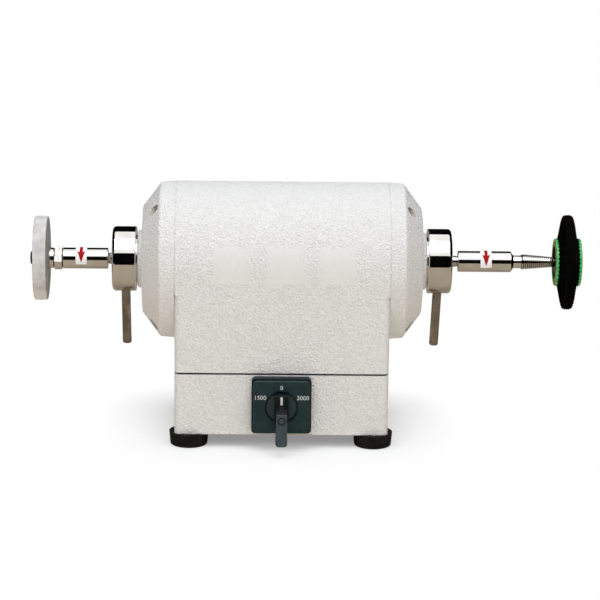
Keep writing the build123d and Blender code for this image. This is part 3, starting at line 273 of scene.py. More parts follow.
class Coat(Graph):
    """The nodes of one material."""

    def __init__(self, name: str) -> None:
        """Start a material that has only its surface shader.

        Args:
            name: The material's name.
        """
        self.material = bpy.data.materials.new(name)
        self.material.use_nodes = True
        super().__init__(self.material.node_tree)
        self.surface = self.tree.nodes["Principled BSDF"]
        self.place = self.add("ShaderNodeTexCoord").outputs["Object"]

    def cloud(self, size: float, grain: Grain = Grain.EVEN, detail: float = 2.0) -> Socket:
        """Add a cloudy pattern.

        Args:
            size: Size of one mark.
            grain: The way that the marks run.
            detail: How many finer layers the pattern has.

        Returns:
            The pattern's strength, about 0.3 to 0.7.
        """
        place = self.vector("MULTIPLY", self.place, grain.value)
        inputs = {"Vector": place, "Scale": 1 / size, "Detail": detail}
        return self.add("ShaderNodeTexNoise", inputs).outputs["Fac"]

    def along(self, axis: Axis) -> Socket:
        """Return the place along an axis."""
        return self.add("ShaderNodeSeparateXYZ", {"Vector": self.place}).outputs[axis.value]

    def from_centre(self) -> Socket:
        """Return the place as seen from the middle of the shaft."""
        return self.vector("SUBTRACT", self.place, shaft_centre())

    def reach(self) -> Socket:
        """Return the distance from the shaft's axis."""
        return self.length(self.vector("MULTIPLY", self.from_centre(), ACROSS_SHAFT))

    def tint(self, value: Socket, span: Point, low: Colour, high: Colour) -> Socket:
        """Colour a pattern.

        Args:
            value: The pattern.
            span: Pattern strengths that give the low and the high colour.
            low: Colour where the pattern is weak.
            high: Colour where it is strong.

        Returns:
            The colour.
        """
        node = self.add("ShaderNodeValToRGB", {"Fac": value})
        for element, place, colour in zip(node.color_ramp.elements, span, (low, high)):
            element.position = place
            element.color = linear(colour)
        return node.outputs["Color"]

    def lay(self, colour: Any, roughness: Any, height: Socket | None = None, depth: float = 0.0,
            edge: float = 0.0, **others: Any) -> None:
        """Fill in the surface shader.

        Args:
            colour: Its base colour.
            roughness: Its roughness.
            height: Pattern of its relief, if it has one.
            depth: Real height between the pattern's 0 and 1.
            edge: Radius by which sharp edges catch the light as if rounded.
            others: Its other sockets, named with _ for a space.
        """
        inputs = {"Base Color": colour, "Roughness": roughness}
        inputs |= {name.replace("_", " "): value for name, value in others.items()}
        if height is not None:
            bump = self.add("ShaderNodeBump", {"Height": height, "Strength": 1.0, "Distance": depth})
            inputs["Normal"] = bump.outputs["Normal"]
            if edge:
                rounded = self.add("ShaderNodeBevel", {"Radius": edge}, samples=6)
                self.feed(bump.inputs["Normal"], rounded.outputs["Normal"])
        for name, value in inputs.items():
            self.feed(self.surface.inputs[name], value)


@dataclass(frozen=True)
class Finish:
    """A surface finish. Its span is where a pattern turns from one of its colours to the other."""

    name: str
    colour: Colour
    shade: Colour

    def paint(self, graph: Coat) -> None:
        """Add the finish to a material, given its nodes."""
        raise NotImplementedError


@dataclass(frozen=True)
class PowderCoat(Finish):
    """A baked powder coat with a hammered texture, rounded edges, and painted shade inside the screw holes
    of the bells.
    """

    span: Point = (0.45, 0.7)
    # Painted shade: the darker colour of the walls inside the screw holes, where shade falls.
    painted_hole_shade: Colour = (186, 178, 168)
    texture_size: float = 1.9 * MM
    texture_depth: float = 2.4 * MM
    speckle_size: float = 0.7 * MM
    speckle_share: float = 0.15
    dull: float = 0.62
    bright: float = 0.44
    edge: float = 1.1 * MM
    screw_head: float = 5.0 * MM
    hole: float = 5.45 * MM
    hole_fade: float = 0.0545 * MM

    def paint(self, graph: Coat) -> None:
        """Add the finish to a material.

        Args:
            graph: The material's nodes.
        """
        # Painted shade: mask the screw holes of the bells, whose walls get the darker hole colour.
        head = Vector((0.0, self.screw_head, self.screw_head))
        axis = (half_of("bell_screws") - head) * Vector(ACROSS_SHAFT)
        fold = graph.vector("MULTIPLY", graph.vector("ABSOLUTE", graph.from_centre()), ACROSS_SHAFT)
        spoke = graph.length(graph.vector("SUBTRACT", fold, axis))
        inside = graph.fall(spoke, self.hole, self.hole + self.hole_fade)
        texture = graph.cloud(self.texture_size, detail=1.5)
        speckle = graph.times(graph.cloud(self.speckle_size), self.speckle_share)
        height = graph.sums("ADD", texture, speckle)
        paint = graph.tint(height, self.span, self.shade, self.colour)
        rough = graph.level(texture, self.dull, self.bright)
        graph.lay(graph.mix(inside, paint, linear(self.painted_hole_shade)), rough, height, self.texture_depth, self.edge)


@dataclass(frozen=True)
class Metal(Finish):
    """A bare or plated metal with fine marks in the way that it was worked."""

    smooth: float
    rough: float
    grain: Grain = Grain.EVEN
    mark_size: float = 0.8 * MM
    mark_depth: float = 0.004 * MM
    film_size: float = 14 * MM
    span: Point = (0.35, 0.62)
    wear: Point = (0.8, 1.2)
    edge: float = 0.25 * MM

    def cover(self, graph: Coat, film: Socket) -> Socket:
        """Return the colour over the surface, from the pattern of the film on it."""
        return graph.tint(film, self.span, self.shade, self.colour)

    def paint(self, graph: Coat) -> None:
        """Add the finish to a material.

        Args:
            graph: The material's nodes.
        """
        marks = graph.cloud(self.mark_size, self.grain, detail=3.0)
        film = graph.cloud(self.film_size)
        worn = graph.times(marks, graph.level(film, *self.wear))
        rough = graph.level(worn, self.smooth, self.rough)
        graph.lay(self.cover(graph, film), rough, marks, self.mark_depth, self.edge, Metallic=1.0)


@dataclass(frozen=True)
class Band:
    """A mottled band round a spindle, from low to high along the shaft and up to a radius."""

    low: float
    high: float
    shades: tuple[Colour, Colour]
    radius: float = 1.0
    fade: float = 0.119 * MM


@dataclass(frozen=True)
class Banded(Metal):
    """A plated spindle with bands round it, each of which covers those before it."""

    bands: tuple[Band, ...] = ()
    mottle: float = 1.6 * MM
    mottle_span: Point = (0.38, 0.6)

    def cover(self, graph: Coat, film: Socket) -> Socket:
        """Colour the plating and the bands.

        Args:
            graph: The material's nodes.
            film: Pattern of the film on the surface.

        Returns:
            The colour over the surface.
        """
        covered = super().cover(graph, film)
        x, reach, mottle = graph.along(Axis.X), graph.reach(), graph.cloud(self.mottle)
        for band in self.bands:
            inside = graph.fall(reach, band.radius - band.fade, band.radius)
            amount = graph.times(inside, graph.window(x, band.low, band.high))
            covered = graph.mix(amount, covered, graph.tint(mottle, self.mottle_span, *band.shades))
        return covered


@dataclass(frozen=True)
class Moulded(Finish):
    """A moulded plastic or rubber with a fine grain and a little dust in it."""

    smooth: float = 0.35
    rough: float = 0.5
    grain_size: float = 0.6 * MM
    grain_depth: float = 0.02 * MM
    edge: float = 0.4 * MM
    gloss: float = 0.5
    dust_size: float = 9 * MM
    span: Point = (0.4, 0.72)

    def cover(self, graph: Coat) -> Socket:
        """Return the colour over the surface."""
        return graph.tint(graph.cloud(self.dust_size, detail=4.0), self.span, self.colour, self.shade)

    def paint(self, graph: Coat) -> None:
        """Add the finish to a material, given its nodes."""
        grain = graph.cloud(self.grain_size)
        graph.lay(self.cover(graph), graph.level(grain, self.smooth, self.rough), grain, self.grain_depth,
                  self.edge, Specular_IOR_Level=self.gloss)


@dataclass(frozen=True)
class TwoTone(Moulded):
    """A moulded plastic that has another colour past a place along an axis."""

    axis: Axis = Axis.Z
    split: float = 0.0
    fade: float = 0.3 * MM
    past: Colour = (5, 6, 7)

    def cover(self, graph: Coat) -> Socket:
        """Return the colour over the surface."""
        amount = graph.rise(graph.along(self.axis), self.split, self.split + self.fade)
        return graph.mix(amount, super().cover(graph), linear(self.past))


@dataclass(frozen=True)
class Stacked(Finish):
    """A stack of thin sheets or a coil of wire, with a line at every turn along the shaft."""

    pitch: float = 0.5 * MM
    metallic: float = 1.0
    roughness: float = 0.5
    unevenness: float = 0.15
    waviness: float = 0.6
    span: Point = (0.2, 0.7)
    stain: float = 6 * MM
    line_depth: float = 0.1 * MM

    def paint(self, graph: Coat) -> None:
        """Add the finish to a material.

        Args:
            graph: The material's nodes.
        """
        inputs = {"Vector": graph.place, "Scale": WAVE_LENGTH / self.pitch, "Distortion": self.waviness}
        lines = graph.add("ShaderNodeTexWave", inputs, bands_direction="X").outputs["Fac"]
        colour = graph.tint(lines, self.span, self.shade, self.colour)
        rough = graph.level(graph.cloud(self.stain), self.roughness, self.roughness + self.unevenness)
        graph.lay(colour, rough, lines, self.line_depth, Metallic=self.metallic)


@dataclass(frozen=True)
class Felt(Finish):
    """Dense pressed felt: matted fibres with a faint polish stain, and painted shade that darkens its flat
    faces.
    """

    # Painted shade: the flat faces are darker than the rim, as though shaded.
    face: Colour = (128, 125, 121)
    rim: float = 43.3 * MM
    rim_fade: float = 1.2 * MM
    fibre: float = 0.7 * MM
    fibre_depth: float = 0.3 * MM
    stain: float = 11 * MM
    stain_share: float = 0.4
    span: Point = (0.36, 0.6)
    roughness: Point = (0.82, 0.95)

    def paint(self, graph: Coat) -> None:
        """Add the finish to a material.

        Args:
            graph: The material's nodes.
        """
        fibres = graph.cloud(self.fibre, detail=4.0)
        stain = graph.times(graph.cloud(self.stain, detail=3.0), self.stain_share)
        mottle = graph.sums("ADD", graph.times(fibres, 1 - self.stain_share), stain)
        clean = graph.tint(mottle, self.span, self.shade, self.colour)
        # Painted shade on the flat faces, inside the rim.
        shaded_faces = graph.tint(mottle, self.span, self.face, self.shade)
        inside = graph.fall(graph.reach(), self.rim - self.rim_fade, self.rim)
        rough = graph.level(fibres, *self.roughness)
        graph.lay(graph.mix(inside, clean, shaded_faces), rough, fibres, self.fibre_depth)


@dataclass(frozen=True)
class Hair(Finish):
    """Stiff bristle, dusty towards its tips."""

    root: float = 44 * MM
    tip: float = 50 * MM
    dust: float = 0.6
    streak: float = 0.9 * MM
    span: Point = (0.4, 0.7)
    roughness: Point = (0.6, 0.8)
    gloss: float = 0.05

    def paint(self, graph: Coat) -> None:
        """Add the finish to a material.

        Args:
            graph: The material's nodes.
        """
        dusty = graph.level(graph.reach(), 0.0, self.dust, self.root, self.tip)
        streak = graph.cloud(self.streak, detail=3.0)
        amount = graph.times(dusty, graph.rise(streak, *self.span))
        colour = graph.mix(amount, linear(self.colour), linear(self.shade))
        graph.lay(colour, graph.level(streak, *self.roughness), Specular_IOR_Level=self.gloss)


@dataclass(frozen=True)
class Lacquer(Finish):
    """Glossy lacquer that is worn to a dull undercoat on its outer edges, with painted shade that makes it
    dark in its recess.

    It runs from worn_low to worn_high along the shaft and is worn near both.
    """

    worn_low: float
    worn_high: float
    fade: float = 1.2 * MM
    recess: float = 17.2 * MM
    # Painted shade: near-black inside the recess radius, where shade falls.
    painted_recess_shade: Colour = (14, 15, 12)
    patch: float = 2.2 * MM
    patch_span: Point = (0.4, 0.6)
    least_wear: float = 0.15
    depth: float = 5 * MM
    span: Point = (0.35, 0.6)
    under_span: Point = (0.35, 0.65)
    deep_shares: Point = (0.75, 0.6)
    roughness: Point = (0.16, 0.9)
    gloss: float = 0.4
    ripple: float = 1.5 * MM
    ripple_depth: float = 0.03 * MM
    edge: float = 0.5 * MM

    def paint(self, graph: Coat) -> None:
        """Add the finish to a material.

        Args:
            graph: The material's nodes.
        """
        along = graph.along(Axis.X)
        low = graph.fall(along, self.worn_low, self.worn_low + self.fade)
        high = graph.rise(along, self.worn_high - self.fade, self.worn_high)
        patches = graph.level(graph.cloud(self.patch, detail=3.0), self.least_wear, 1.0, *self.patch_span)
        worn = graph.times(graph.sums("MAXIMUM", low, high), patches)
        depth = graph.cloud(self.depth)
        deep, deep_under = self.deep_shares
        green = graph.tint(depth, self.span, darker(self.colour, deep), self.colour)
        under = graph.tint(depth, self.under_span, darker(self.shade, deep_under), self.shade)
        # Painted shade in the recess.
        dark = graph.fall(graph.reach(), self.recess, self.recess + self.fade)
        colour = graph.mix(dark, graph.mix(worn, green, under), linear(self.painted_recess_shade))
        rough = graph.level(worn, *self.roughness, 0.0, 1.0)
        graph.lay(colour, rough, graph.cloud(self.ripple), self.ripple_depth, self.edge,
                  Specular_IOR_Level=self.gloss)


@dataclass(frozen=True)
class Print(Finish):
    """Screen-printed ink or a printed label face, with a slightly uneven cover."""

    roughness: float = 0.45
    gloss: float = 0.5
    unevenness: float = 0.15
    patch: float = 0.9 * MM
    span: Point = (0.36, 0.5)
    layer: float = 0.008 * MM

    def paint(self, graph: Coat) -> None:
        """Add the finish to a material.

        Args:
            graph: The material's nodes.
        """
        cover = graph.cloud(self.patch, detail=3.0)
        colour = graph.tint(cover, self.span, self.shade, self.colour)
        rough = graph.level(cover, self.roughness, self.roughness + self.unevenness)
        graph.lay(colour, rough, cover, self.layer, Specular_IOR_Level=self.gloss)


PLATING = ((244, 242, 238), (230, 227, 221), 0.03, 0.08, Grain.TURNED)
PAINT = PowderCoat("body_paint", (237, 236, 235), (228, 227, 225))
CHROME = Metal("ring_chrome", (246, 245, 242), (236, 234, 229), 0.03, 0.06, Grain.TURNED)
SPINDLE = Metal("spindle_chrome", *PLATING)
FELT = Felt("wheel_felt", (218, 217, 215), (174, 172, 169))
BRISTLE = Hair("bristle", (1, 1, 1), (48, 42, 30))
SWITCH = Moulded("switch_plastic", (24, 47, 51), (33, 56, 60), 0.34, 0.46, gloss=0.3)
FRAME = Moulded("frame_plastic", (14, 30, 33), (22, 38, 41), 0.34, 0.46, gloss=0.35)
GRIP = Moulded("grip_plastic", (56, 68, 76), (66, 78, 86), 0.3, 0.42, 0.5 * MM, 0.03 * MM, 0.5 * MM)
WHITE_INK = Print("dial_ink", (225, 228, 228), (190, 194, 195))
GREY_INK = Print("pointer_ink", (196, 200, 200), (172, 176, 176))
RED_INK = Print("arrow_ink", (164, 6, 12), (140, 5, 9), 0.6, 0.15)
LABEL = Print("label_white", (244, 244, 244), (228, 231, 234))
FILM = Print("label_film", (228, 227, 225), (223, 221, 219), 0.22)


def cad_finishes() -> dict[str, Finish]:
    """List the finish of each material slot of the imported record.

    Returns:
        The finishes by slot.
    """
    hub_low, hub_high = corners_of("brush_hub")[0].x, corners_of("brush_cap")[1].x
    finishes = [
        PAINT,
        CHROME,
        SPINDLE,
        FELT,
        BRISTLE,
        SWITCH,
        GRIP,
        Metal("plate_steel", (170, 171, 174), (140, 141, 145), 0.3, 0.5, Grain.SHEET),
        Metal("screw_steel", (70, 70, 72), (44, 44, 46), 0.3, 0.5),
        Metal("end_ring_aluminium", (190, 190, 192), (165, 165, 168), 0.35, 0.55, mark_size=3 * MM),
        Metal("bearing_steel", (196, 197, 200), (178, 179, 182), 0.1, 0.2, Grain.TURNED),
        Metal("shaft_steel", (214, 214, 214), (196, 196, 197), 0.06, 0.14, Grain.TURNED),
        Metal("lever_steel", (172, 162, 148), (140, 131, 117), 0.16, 0.3, Grain.UPRIGHT),
        Moulded("foot_rubber", (12, 12, 12), (30, 28, 26), 0.6, 0.85, 1.2 * MM, 0.1 * MM, 0.8 * MM, 0.25),
        Moulded("seal_rubber", (12, 12, 13), (24, 23, 22), 0.6, 0.8),
        Moulded("inner_plastic", (172, 170, 160), (150, 148, 139)),
        Moulded("gland_plastic", (28, 28, 30), (44, 43, 42), 0.4, 0.55),
        Stacked("lamination", (124, 125, 128), (70, 70, 72)),
        Stacked("winding", (176, 98, 48), (96, 46, 22), 1.2 * MM, 0.6, 0.35),
        Lacquer("hub_plastic", (76, 210, 116), (158, 122, 30), hub_low, hub_high),
    ]
    return {finish.name: finish for finish in finishes}


def node_finishes() -> dict[str, Finish]:
    """List the finishes of the nodes that differ from the rest of their slot.

    Returns:
        The finishes by node.
    """
    groove = corners_of("left_clamp_flange")[1].x
    flats = groove + GROOVE_WIDTH
    flats_end = flats + FLATS_WIDTH
    arbor_bands = (
        # Painted shade: near-black in the grooves on both sides of the flats, where shade falls in them.
        Band(groove, flats_end + GROOVE_WIDTH, ((20, 20, 20), (20, 20, 20)), GROOVE_RADIUS, 0.212 * MM),
        Band(flats, flats_end, ((104, 102, 98), (160, 158, 154)), FLATS_RADIUS),
    )
    skirt = corners_of("switch_knob")[1].y - SKIRT_DEPTH
    crest = middle_of("switch_shaft").z - CREST_DROP
    tip = corners_of("right_taper_spindle")[1].x
    taper = tip - TAPER_LENGTH
    journal = taper - JOURNAL_LENGTH
    # Painted dark grey: painted shade on the taper between the ridges of the thread, and a painted dark
    # reflection on the sleeve's chamfer.
    dull = ((84, 80, 74), (84, 80, 74))
    taper_bands = (Band(journal - SLEEVE_CHAMFER, journal, dull), Band(taper, tip, dull))
    return {
        "switch_frame": FRAME,
        # Painted light: the skirt's segments behind the bar are lighter than the plate's plastic, to offset
        # the shade of their recess.
        "switch_knob": TwoTone("knob_plastic", (12, 22, 24), (20, 31, 33), 0.34, 0.46, gloss=0.2,
                               axis=Axis.Y, split=skirt, past=(45, 62, 66)),
        "switch_lever": TwoTone("lever_plastic", GRIP.colour, GRIP.shade, 0.3, 0.42, gloss=0.3, split=crest),
        "left_arbor": Banded("arbor_chrome", *PLATING, bands=arbor_bands),
        "right_taper_spindle": Banded("taper_chrome", *PLATING, bands=taper_bands),
    }


def put(name: str, mesh: Mesh, material: Material) -> bpy.types.Object:
    """Make an object of a bmesh, which is used up.

    Args:
        name: The object's name.
        mesh: Its shape, already in place.
        material: Its material.

    Returns:
        The new object.
    """
    data = bpy.data.meshes.new(name)
    mesh.to_mesh(data)
    mesh.free()
    data.materials.append(material)
    thing = bpy.data.objects.new(name, data)
    bpy.context.scene.collection.objects.link(thing)
    return thing


class Palette:
    """Makes each finish once and hands out its material."""

    def __init__(self) -> None:
        """Start with no material made."""
        self.made: dict[str, Material] = {}

    def material(self, finish: Finish) -> Material:
        """Give the material of a finish, made at its first use.

        Args:
            finish: The finish.

        Returns:
            Its material.
        """
        if finish.name not in self.made:
            coat = Coat(finish.name)
            finish.paint(coat)
            self.made[finish.name] = coat.material
        return self.made[finish.name]

    def dress_nodes(self) -> None:
        """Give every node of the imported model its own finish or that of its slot."""
        finishes, special = cad_finishes(), node_finishes()
        for row in frame["record"]["subparts"]:
            node = frame["nodes"][row["node"]]
            node.data.materials.clear()
            finish = special.get(row["node"], finishes[row["material_slot"]])
            node.data.materials.append(self.material(finish))
            LOG.info("node %s in %s", row["node"], row["material_slot"])

    def piece(self, name: str, mesh: Mesh, finish: Finish, body: str, slot: str,
              crease: float = 35.0) -> bpy.types.Object:
        """Make a finished piece from a bmesh, which is used up.

        Args:
            name: The piece's name.
            mesh: Its shape, already in place.
            finish: Its finish.
            body: The body that it rides on.
            slot: The record's slot that its finish belongs to; not used.
            crease: Angle in degrees past which an edge stays sharp.

        Returns:
            The new object.
        """
        piece = put(name, mesh, self.material(finish))
        piece.data.shade_smooth()
        piece.data.set_sharp_from_angle(angle=math.radians(crease))
        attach(piece, body)
        LOG.info("piece %s on %s, %d faces", name, body, len(piece.data.polygons))
        return piece


def verts_of(items: Iterable[Any]) -> list[bmesh.types.BMVert]:
    """Return the vertices among the items of a bmesh."""
    return [item for item in items if isinstance(item, bmesh.types.BMVert)]


def everything_in(mesh: Mesh) -> list[Any]:
    """Return all the items of a bmesh."""
    return mesh.verts[:] + mesh.edges[:] + mesh.faces[:]


def outward(mesh: Mesh) -> None:
    """Turn the faces of a closed bmesh outwards."""
    bmesh.ops.recalc_face_normals(mesh, faces=mesh.faces)


def swept(profile: Iterable[Point], steps: int, start: float = 0.0, turn: float | None = None,
          advance: float = 0.0) -> Mesh:
    """Turn a closed profile round the shaft.

    Args:
        profile: Corners as (place along the shaft, radius).
        steps: Steps of the turn.
        start: Angle in radians at which it starts.
        turn: Angle in radians that it turns by, or None to close a ring.
        advance: Distance along the shaft that each step adds.

    Returns:
        The ring, or the bar with closed ends, that the profile sweeps.
    """
    ring = turn is None
    mesh = bmesh.new()
    corners = [mesh.verts.new(round_shaft(x, radius, start)) for x, radius in profile]
    edges = [mesh.edges.new(pair) for pair in zip(corners, corners[1:] + corners[:1])]
    made = bmesh.ops.spin(mesh, geom=corners + edges, cent=shaft_centre(), axis=SHAFT_AXIS, steps=steps,
                          angle=math.tau if ring else turn, dvec=(advance, 0.0, 0.0), use_merge=ring)
    if ring:
        bmesh.ops.remove_doubles(mesh, verts=mesh.verts, dist=WELD)
    else:
        mesh.faces.new(corners)
        mesh.faces.new(verts_of(made["geom_last"]))
    outward(mesh)
    return mesh


def repeat_round_shaft(mesh: Mesh, count: int) -> None:
    """Copy all of a mesh round the shaft until there are count of it."""
    bmesh.ops.spin(mesh, geom=everything_in(mesh), cent=shaft_centre(), axis=SHAFT_AXIS,
                   angle=math.tau * (count - 1) / count, steps=count - 1, use_duplicate=True)


def thicken(mesh: Mesh, by: Triple) -> None:
    """Make a sheet a closed slab.

    Args:
        mesh: The sheet.
        by: Way from its one side to the other.
    """
    slab = bmesh.ops.extrude_face_region(mesh, geom=mesh.faces[:], use_keep_orig=True)
    bmesh.ops.translate(mesh, verts=verts_of(slab["geom"]), vec=by)
    outward(mesh)


def cut_across(mesh: Mesh, y: float) -> None:
    """Cut a flat sheet along X, so that it can bend there."""
    bmesh.ops.bisect_plane(mesh, geom=everything_in(mesh), dist=WELD, plane_co=(0.0, y, 0.0),
                           plane_no=(0.0, 1.0, 0.0))


def round_off(mesh: Mesh, items: list[Any], radius: float, segments: int,
              kind: Rounding = Rounding.EDGES) -> None:
    """Round edges or corners in a number of segments."""
    bmesh.ops.bevel(mesh, geom=items, offset=radius, segments=segments, profile=0.5, affect=kind.value,
                    material=-1)


def pour(part: Mesh, whole: Mesh) -> None:
    """Move all of one bmesh into another.

    Args:
        part: The bmesh to move, which is used up.
        whole: The bmesh that takes it in.
    """
    data = bpy.data.meshes.new("part")
    part.to_mesh(data)
    part.free()
    whole.from_mesh(data)
    bpy.data.meshes.remove(data)


def quarter_turn(centre: Point, radius: float, start: float, steps: int = 6) -> list[Point]:
    """Return the points of a quarter circle that ends a quarter turn anticlockwise of start degrees."""
    angles = [math.radians(start + 90 * step / steps) for step in range(steps + 1)]
    return [(centre[0] + radius * math.cos(a), centre[1] + radius * math.sin(a)) for a in angles]


@dataclass
class FeltWheel:
    """The pressed felt wheel: a little crowned, soft at its edges and faintly uneven."""

    palette: Palette
    edge: float = 1.1 * MM
    crown: float = 0.25 * MM
    unevenness: float = 0.16 * MM
    lump: float = 3.2 * MM
    steps: int = 144
    rings: int = 12

    def profile(self) -> list[Point]:
        """Work out the wheel's section.

        Returns:
            Its corners as (place along the shaft, radius).
        """
        low, high = corners_of("polishing_wheel")
        rim = half_of("polishing_wheel").z - self.unevenness
        bore = half_of("wheel_screw").z / 2
        start, end = low.x + self.unevenness, high.x - self.unevenness
        shoulder = rim - self.crown - self.edge
        side = [bore + (shoulder - bore) * ring / self.rings for ring in range(self.rings)]
        corners = [(end, radius) for radius in side]
        corners += quarter_turn((end - self.edge, shoulder), self.edge, 0.0)
        corners += [((start + end) / 2, rim)]
        corners += quarter_turn((start + self.edge, shoulder), self.edge, 90.0)
        return corners + [(start, radius) for radius in reversed(side)]

    def build(self) -> None:
        """Model the wheel and put it in place of the plain one."""
        mesh = swept(self.profile(), self.steps)
        mesh.normal_update()
        moves = [noise.noise(vert.co / self.lump) * self.unevenness * vert.normal for vert in mesh.verts]
        for vert, move in zip(mesh.verts[:], moves):
            vert.co += move
        wheel = self.palette.piece("felt_wheel", mesh, FELT, "left_tool", "wheel_felt", crease=60.0)
        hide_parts("polishing_wheel")


@dataclass
class LatheBrush:
    """The round brush: dense bristle that narrows to its rim, and hub plates with toothed rims.

    A fill is the number of like slices that go round the brush, with the number of strands in one. The
    lean of a strand is in radians, and the shortfall and drift of its tip are in millimetres.
    """

    palette: Palette
    root_radius: float = 23.5 * MM
    root_half_width: float = 9.9 * MM
    rim_half_width: float = 4.5 * MM
    rim_round: float = 1.5 * MM
    rim_power: int = 4
    strand: float = 0.34 * MM
    strand_sides: int = 4
    tip_share: float = 0.7
    lean: float = 0.006
    shortfall: Point = (0.05, 0.6)
    drift: float = 0.25
    fills: tuple[tuple[int, int], ...] = ((37, 66), (43, 58), (53, 46))
    core_inset: float = 1.5 * MM
    core_steps: int = 72
    hub_wall: float = 11 * MM
    teeth: int = 34
    notch_share: float = 0.98
    notch_reach: float = 1.8 * MM
    notch_wall: float = 1.8 * MM
    notch_bulge: float = 0.3 * MM
    notch_round: float = 0.15 * MM
    seed: int = 11

    def rim(self) -> float:
        """Return the radius of the brush."""
        return half_of("brush_bristles").y

    def middle(self) -> float:
        """Return the place of the brush's middle along the shaft."""
        return middle_of("brush_bristles").x

    def add_strand(self, mesh: Mesh, chance: random.Random, spread: float) -> None:
        """Add one bristle at a chance place.

        Args:
            mesh: The bmesh to add to.
            chance: Source of the chance numbers.
            spread: Angle of the slice that it may stand in.
        """
        across = chance.uniform(-1, 1)
        angle = chance.uniform(0, spread)
        lean = chance.gauss(0, self.lean)
        rounding = self.rim_round * abs(across) ** self.rim_power
        length = self.rim() - rounding - chance.uniform(*self.shortfall) * MM
        root = round_shaft(self.middle() + across * self.root_half_width, self.root_radius, angle)
        drift = across * self.rim_half_width + chance.gauss(0, self.drift) * MM
        tip = round_shaft(self.middle() + drift, length, angle + lean)
        way = tip - root
        turn = way.to_track_quat("Z", "Y").to_matrix().to_4x4()
        bmesh.ops.create_cone(mesh, cap_ends=True, segments=self.strand_sides, radius1=self.strand,
                              radius2=self.strand * self.tip_share, depth=way.length,
                              matrix=Matrix.Translation((root + tip) / 2) @ turn)

    def core(self) -> Mesh:
        """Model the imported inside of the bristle, which shows between the strands.

        Returns:
            The core as a bmesh.
        """
        rim = self.rim() - self.core_inset - self.rim_round
        foot = self.root_half_width - self.core_inset / 3
        head = self.rim_half_width - self.core_inset / 2
        bore = corners_of("brush_hub")[1].z - shaft_centre().z - self.hub_wall
        middle = self.middle()
        corners = [(middle - foot, bore), (middle + foot, bore), (middle + foot, self.root_radius),
                   (middle + head, rim), (middle, rim + self.rim_round / 2), (middle - head, rim),
                   (middle - foot, self.root_radius)]
        return swept(corners, self.core_steps)

    def build_bristle(self) -> None:
        """Model the bristle and put it in place of the simple one."""
        chance = random.Random(self.seed)
        whole = bmesh.new()
        for copies, strands in self.fills:
            part = bmesh.new()
            for _ in range(strands):
                self.add_strand(part, chance, math.tau / copies)
            repeat_round_shaft(part, copies)
            pour(part, whole)
        pour(self.core(), whole)
        bristle = self.palette.piece("brush_tufts", whole, BRISTLE, "right_tool", "bristle")
        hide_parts("brush_bristles")

    def build_notches(self, name: str, plate_face: float, way: int) -> None:
        """Model the bristle that bulges out between the teeth of one hub plate.

        Args:
            name: The piece's name.
            plate_face: Place of the plate's inner face along the shaft.
            way: 1 where the plate lies towards +X, else -1.
        """
        radius = half_of("brush_cap").z + self.notch_bulge
        half = self.notch_share * math.pi / self.teeth
        root = plate_face - way * self.notch_reach / 3
        tip = plate_face + way * self.notch_reach
        outline = [(root, -half), (plate_face, -half), (tip, 0.0), (plate_face, half), (root, half)]
        mesh = bmesh.new()
        mesh.faces.new([mesh.verts.new(round_shaft(x, radius, angle)) for x, angle in outline])
        thicken(mesh, (0.0, self.notch_wall, 0.0))
        round_off(mesh, mesh.edges[:], self.notch_round, 2)
        repeat_round_shaft(mesh, self.teeth)
        self.palette.piece(name, mesh, BRISTLE, "right_tool", "bristle")

    def build(self) -> None:
        """Model the bristle, also where it bulges out between the teeth of both hub plates."""
        self.build_bristle()
        half_gap = corners_of("brush_cap")[0].x - self.middle()
        for name, way in (("hub_notches_inner", -1), ("hub_notches_outer", 1)):
            self.build_notches(name, self.middle() + way * half_gap, way)


@dataclass
class SpindleThread:
    """The fine thread on the tapered nose that the brush screws on to.

    Its half_width is a share of the pitch, and flat_share is the part of it that the crest takes up.
    """

    palette: Palette
    start_radius: float = 7.6 * MM
    end_radius: float = 3.0 * MM
    pitch: float = 2.1 * MM
    height: float = 0.6 * MM
    half_width: float = 0.36
    flat_share: float = 0.6
    steps_per_turn: int = 28

    def build(self) -> None:
        """Model the thread from the start of the taper to the brush."""
        taper = corners_of("right_taper_spindle")[1].x - TAPER_LENGTH
        start = taper + self.pitch / 2
        turns = int((corners_of("brush_hub")[0].x - start) / self.pitch)
        root = self.start_radius - self.height / 2
        crest = self.start_radius + self.height
        half = self.half_width * self.pitch
        flat = self.flat_share * half
        profile = [(start - half, root), (start - flat, crest), (start + flat, crest), (start + half, root)]
        mesh = swept(profile, turns * self.steps_per_turn, turn=math.tau * turns,
                     advance=self.pitch / self.steps_per_turn)
        slope = (self.start_radius - self.end_radius) / TAPER_LENGTH
        for vert in mesh.verts:
            spoke = (vert.co - shaft_centre()) * Vector(ACROSS_SHAFT)
            vert.co -= spoke.normalized() * slope * (vert.co.x - taper)
        self.palette.piece("spindle_thread", mesh, SPINDLE, "right_tool", "spindle_chrome", crease=25.0)


BAND_PLACES = {Side.LEFT: -210.9 * MM, Side.RIGHT: 214.7 * MM}


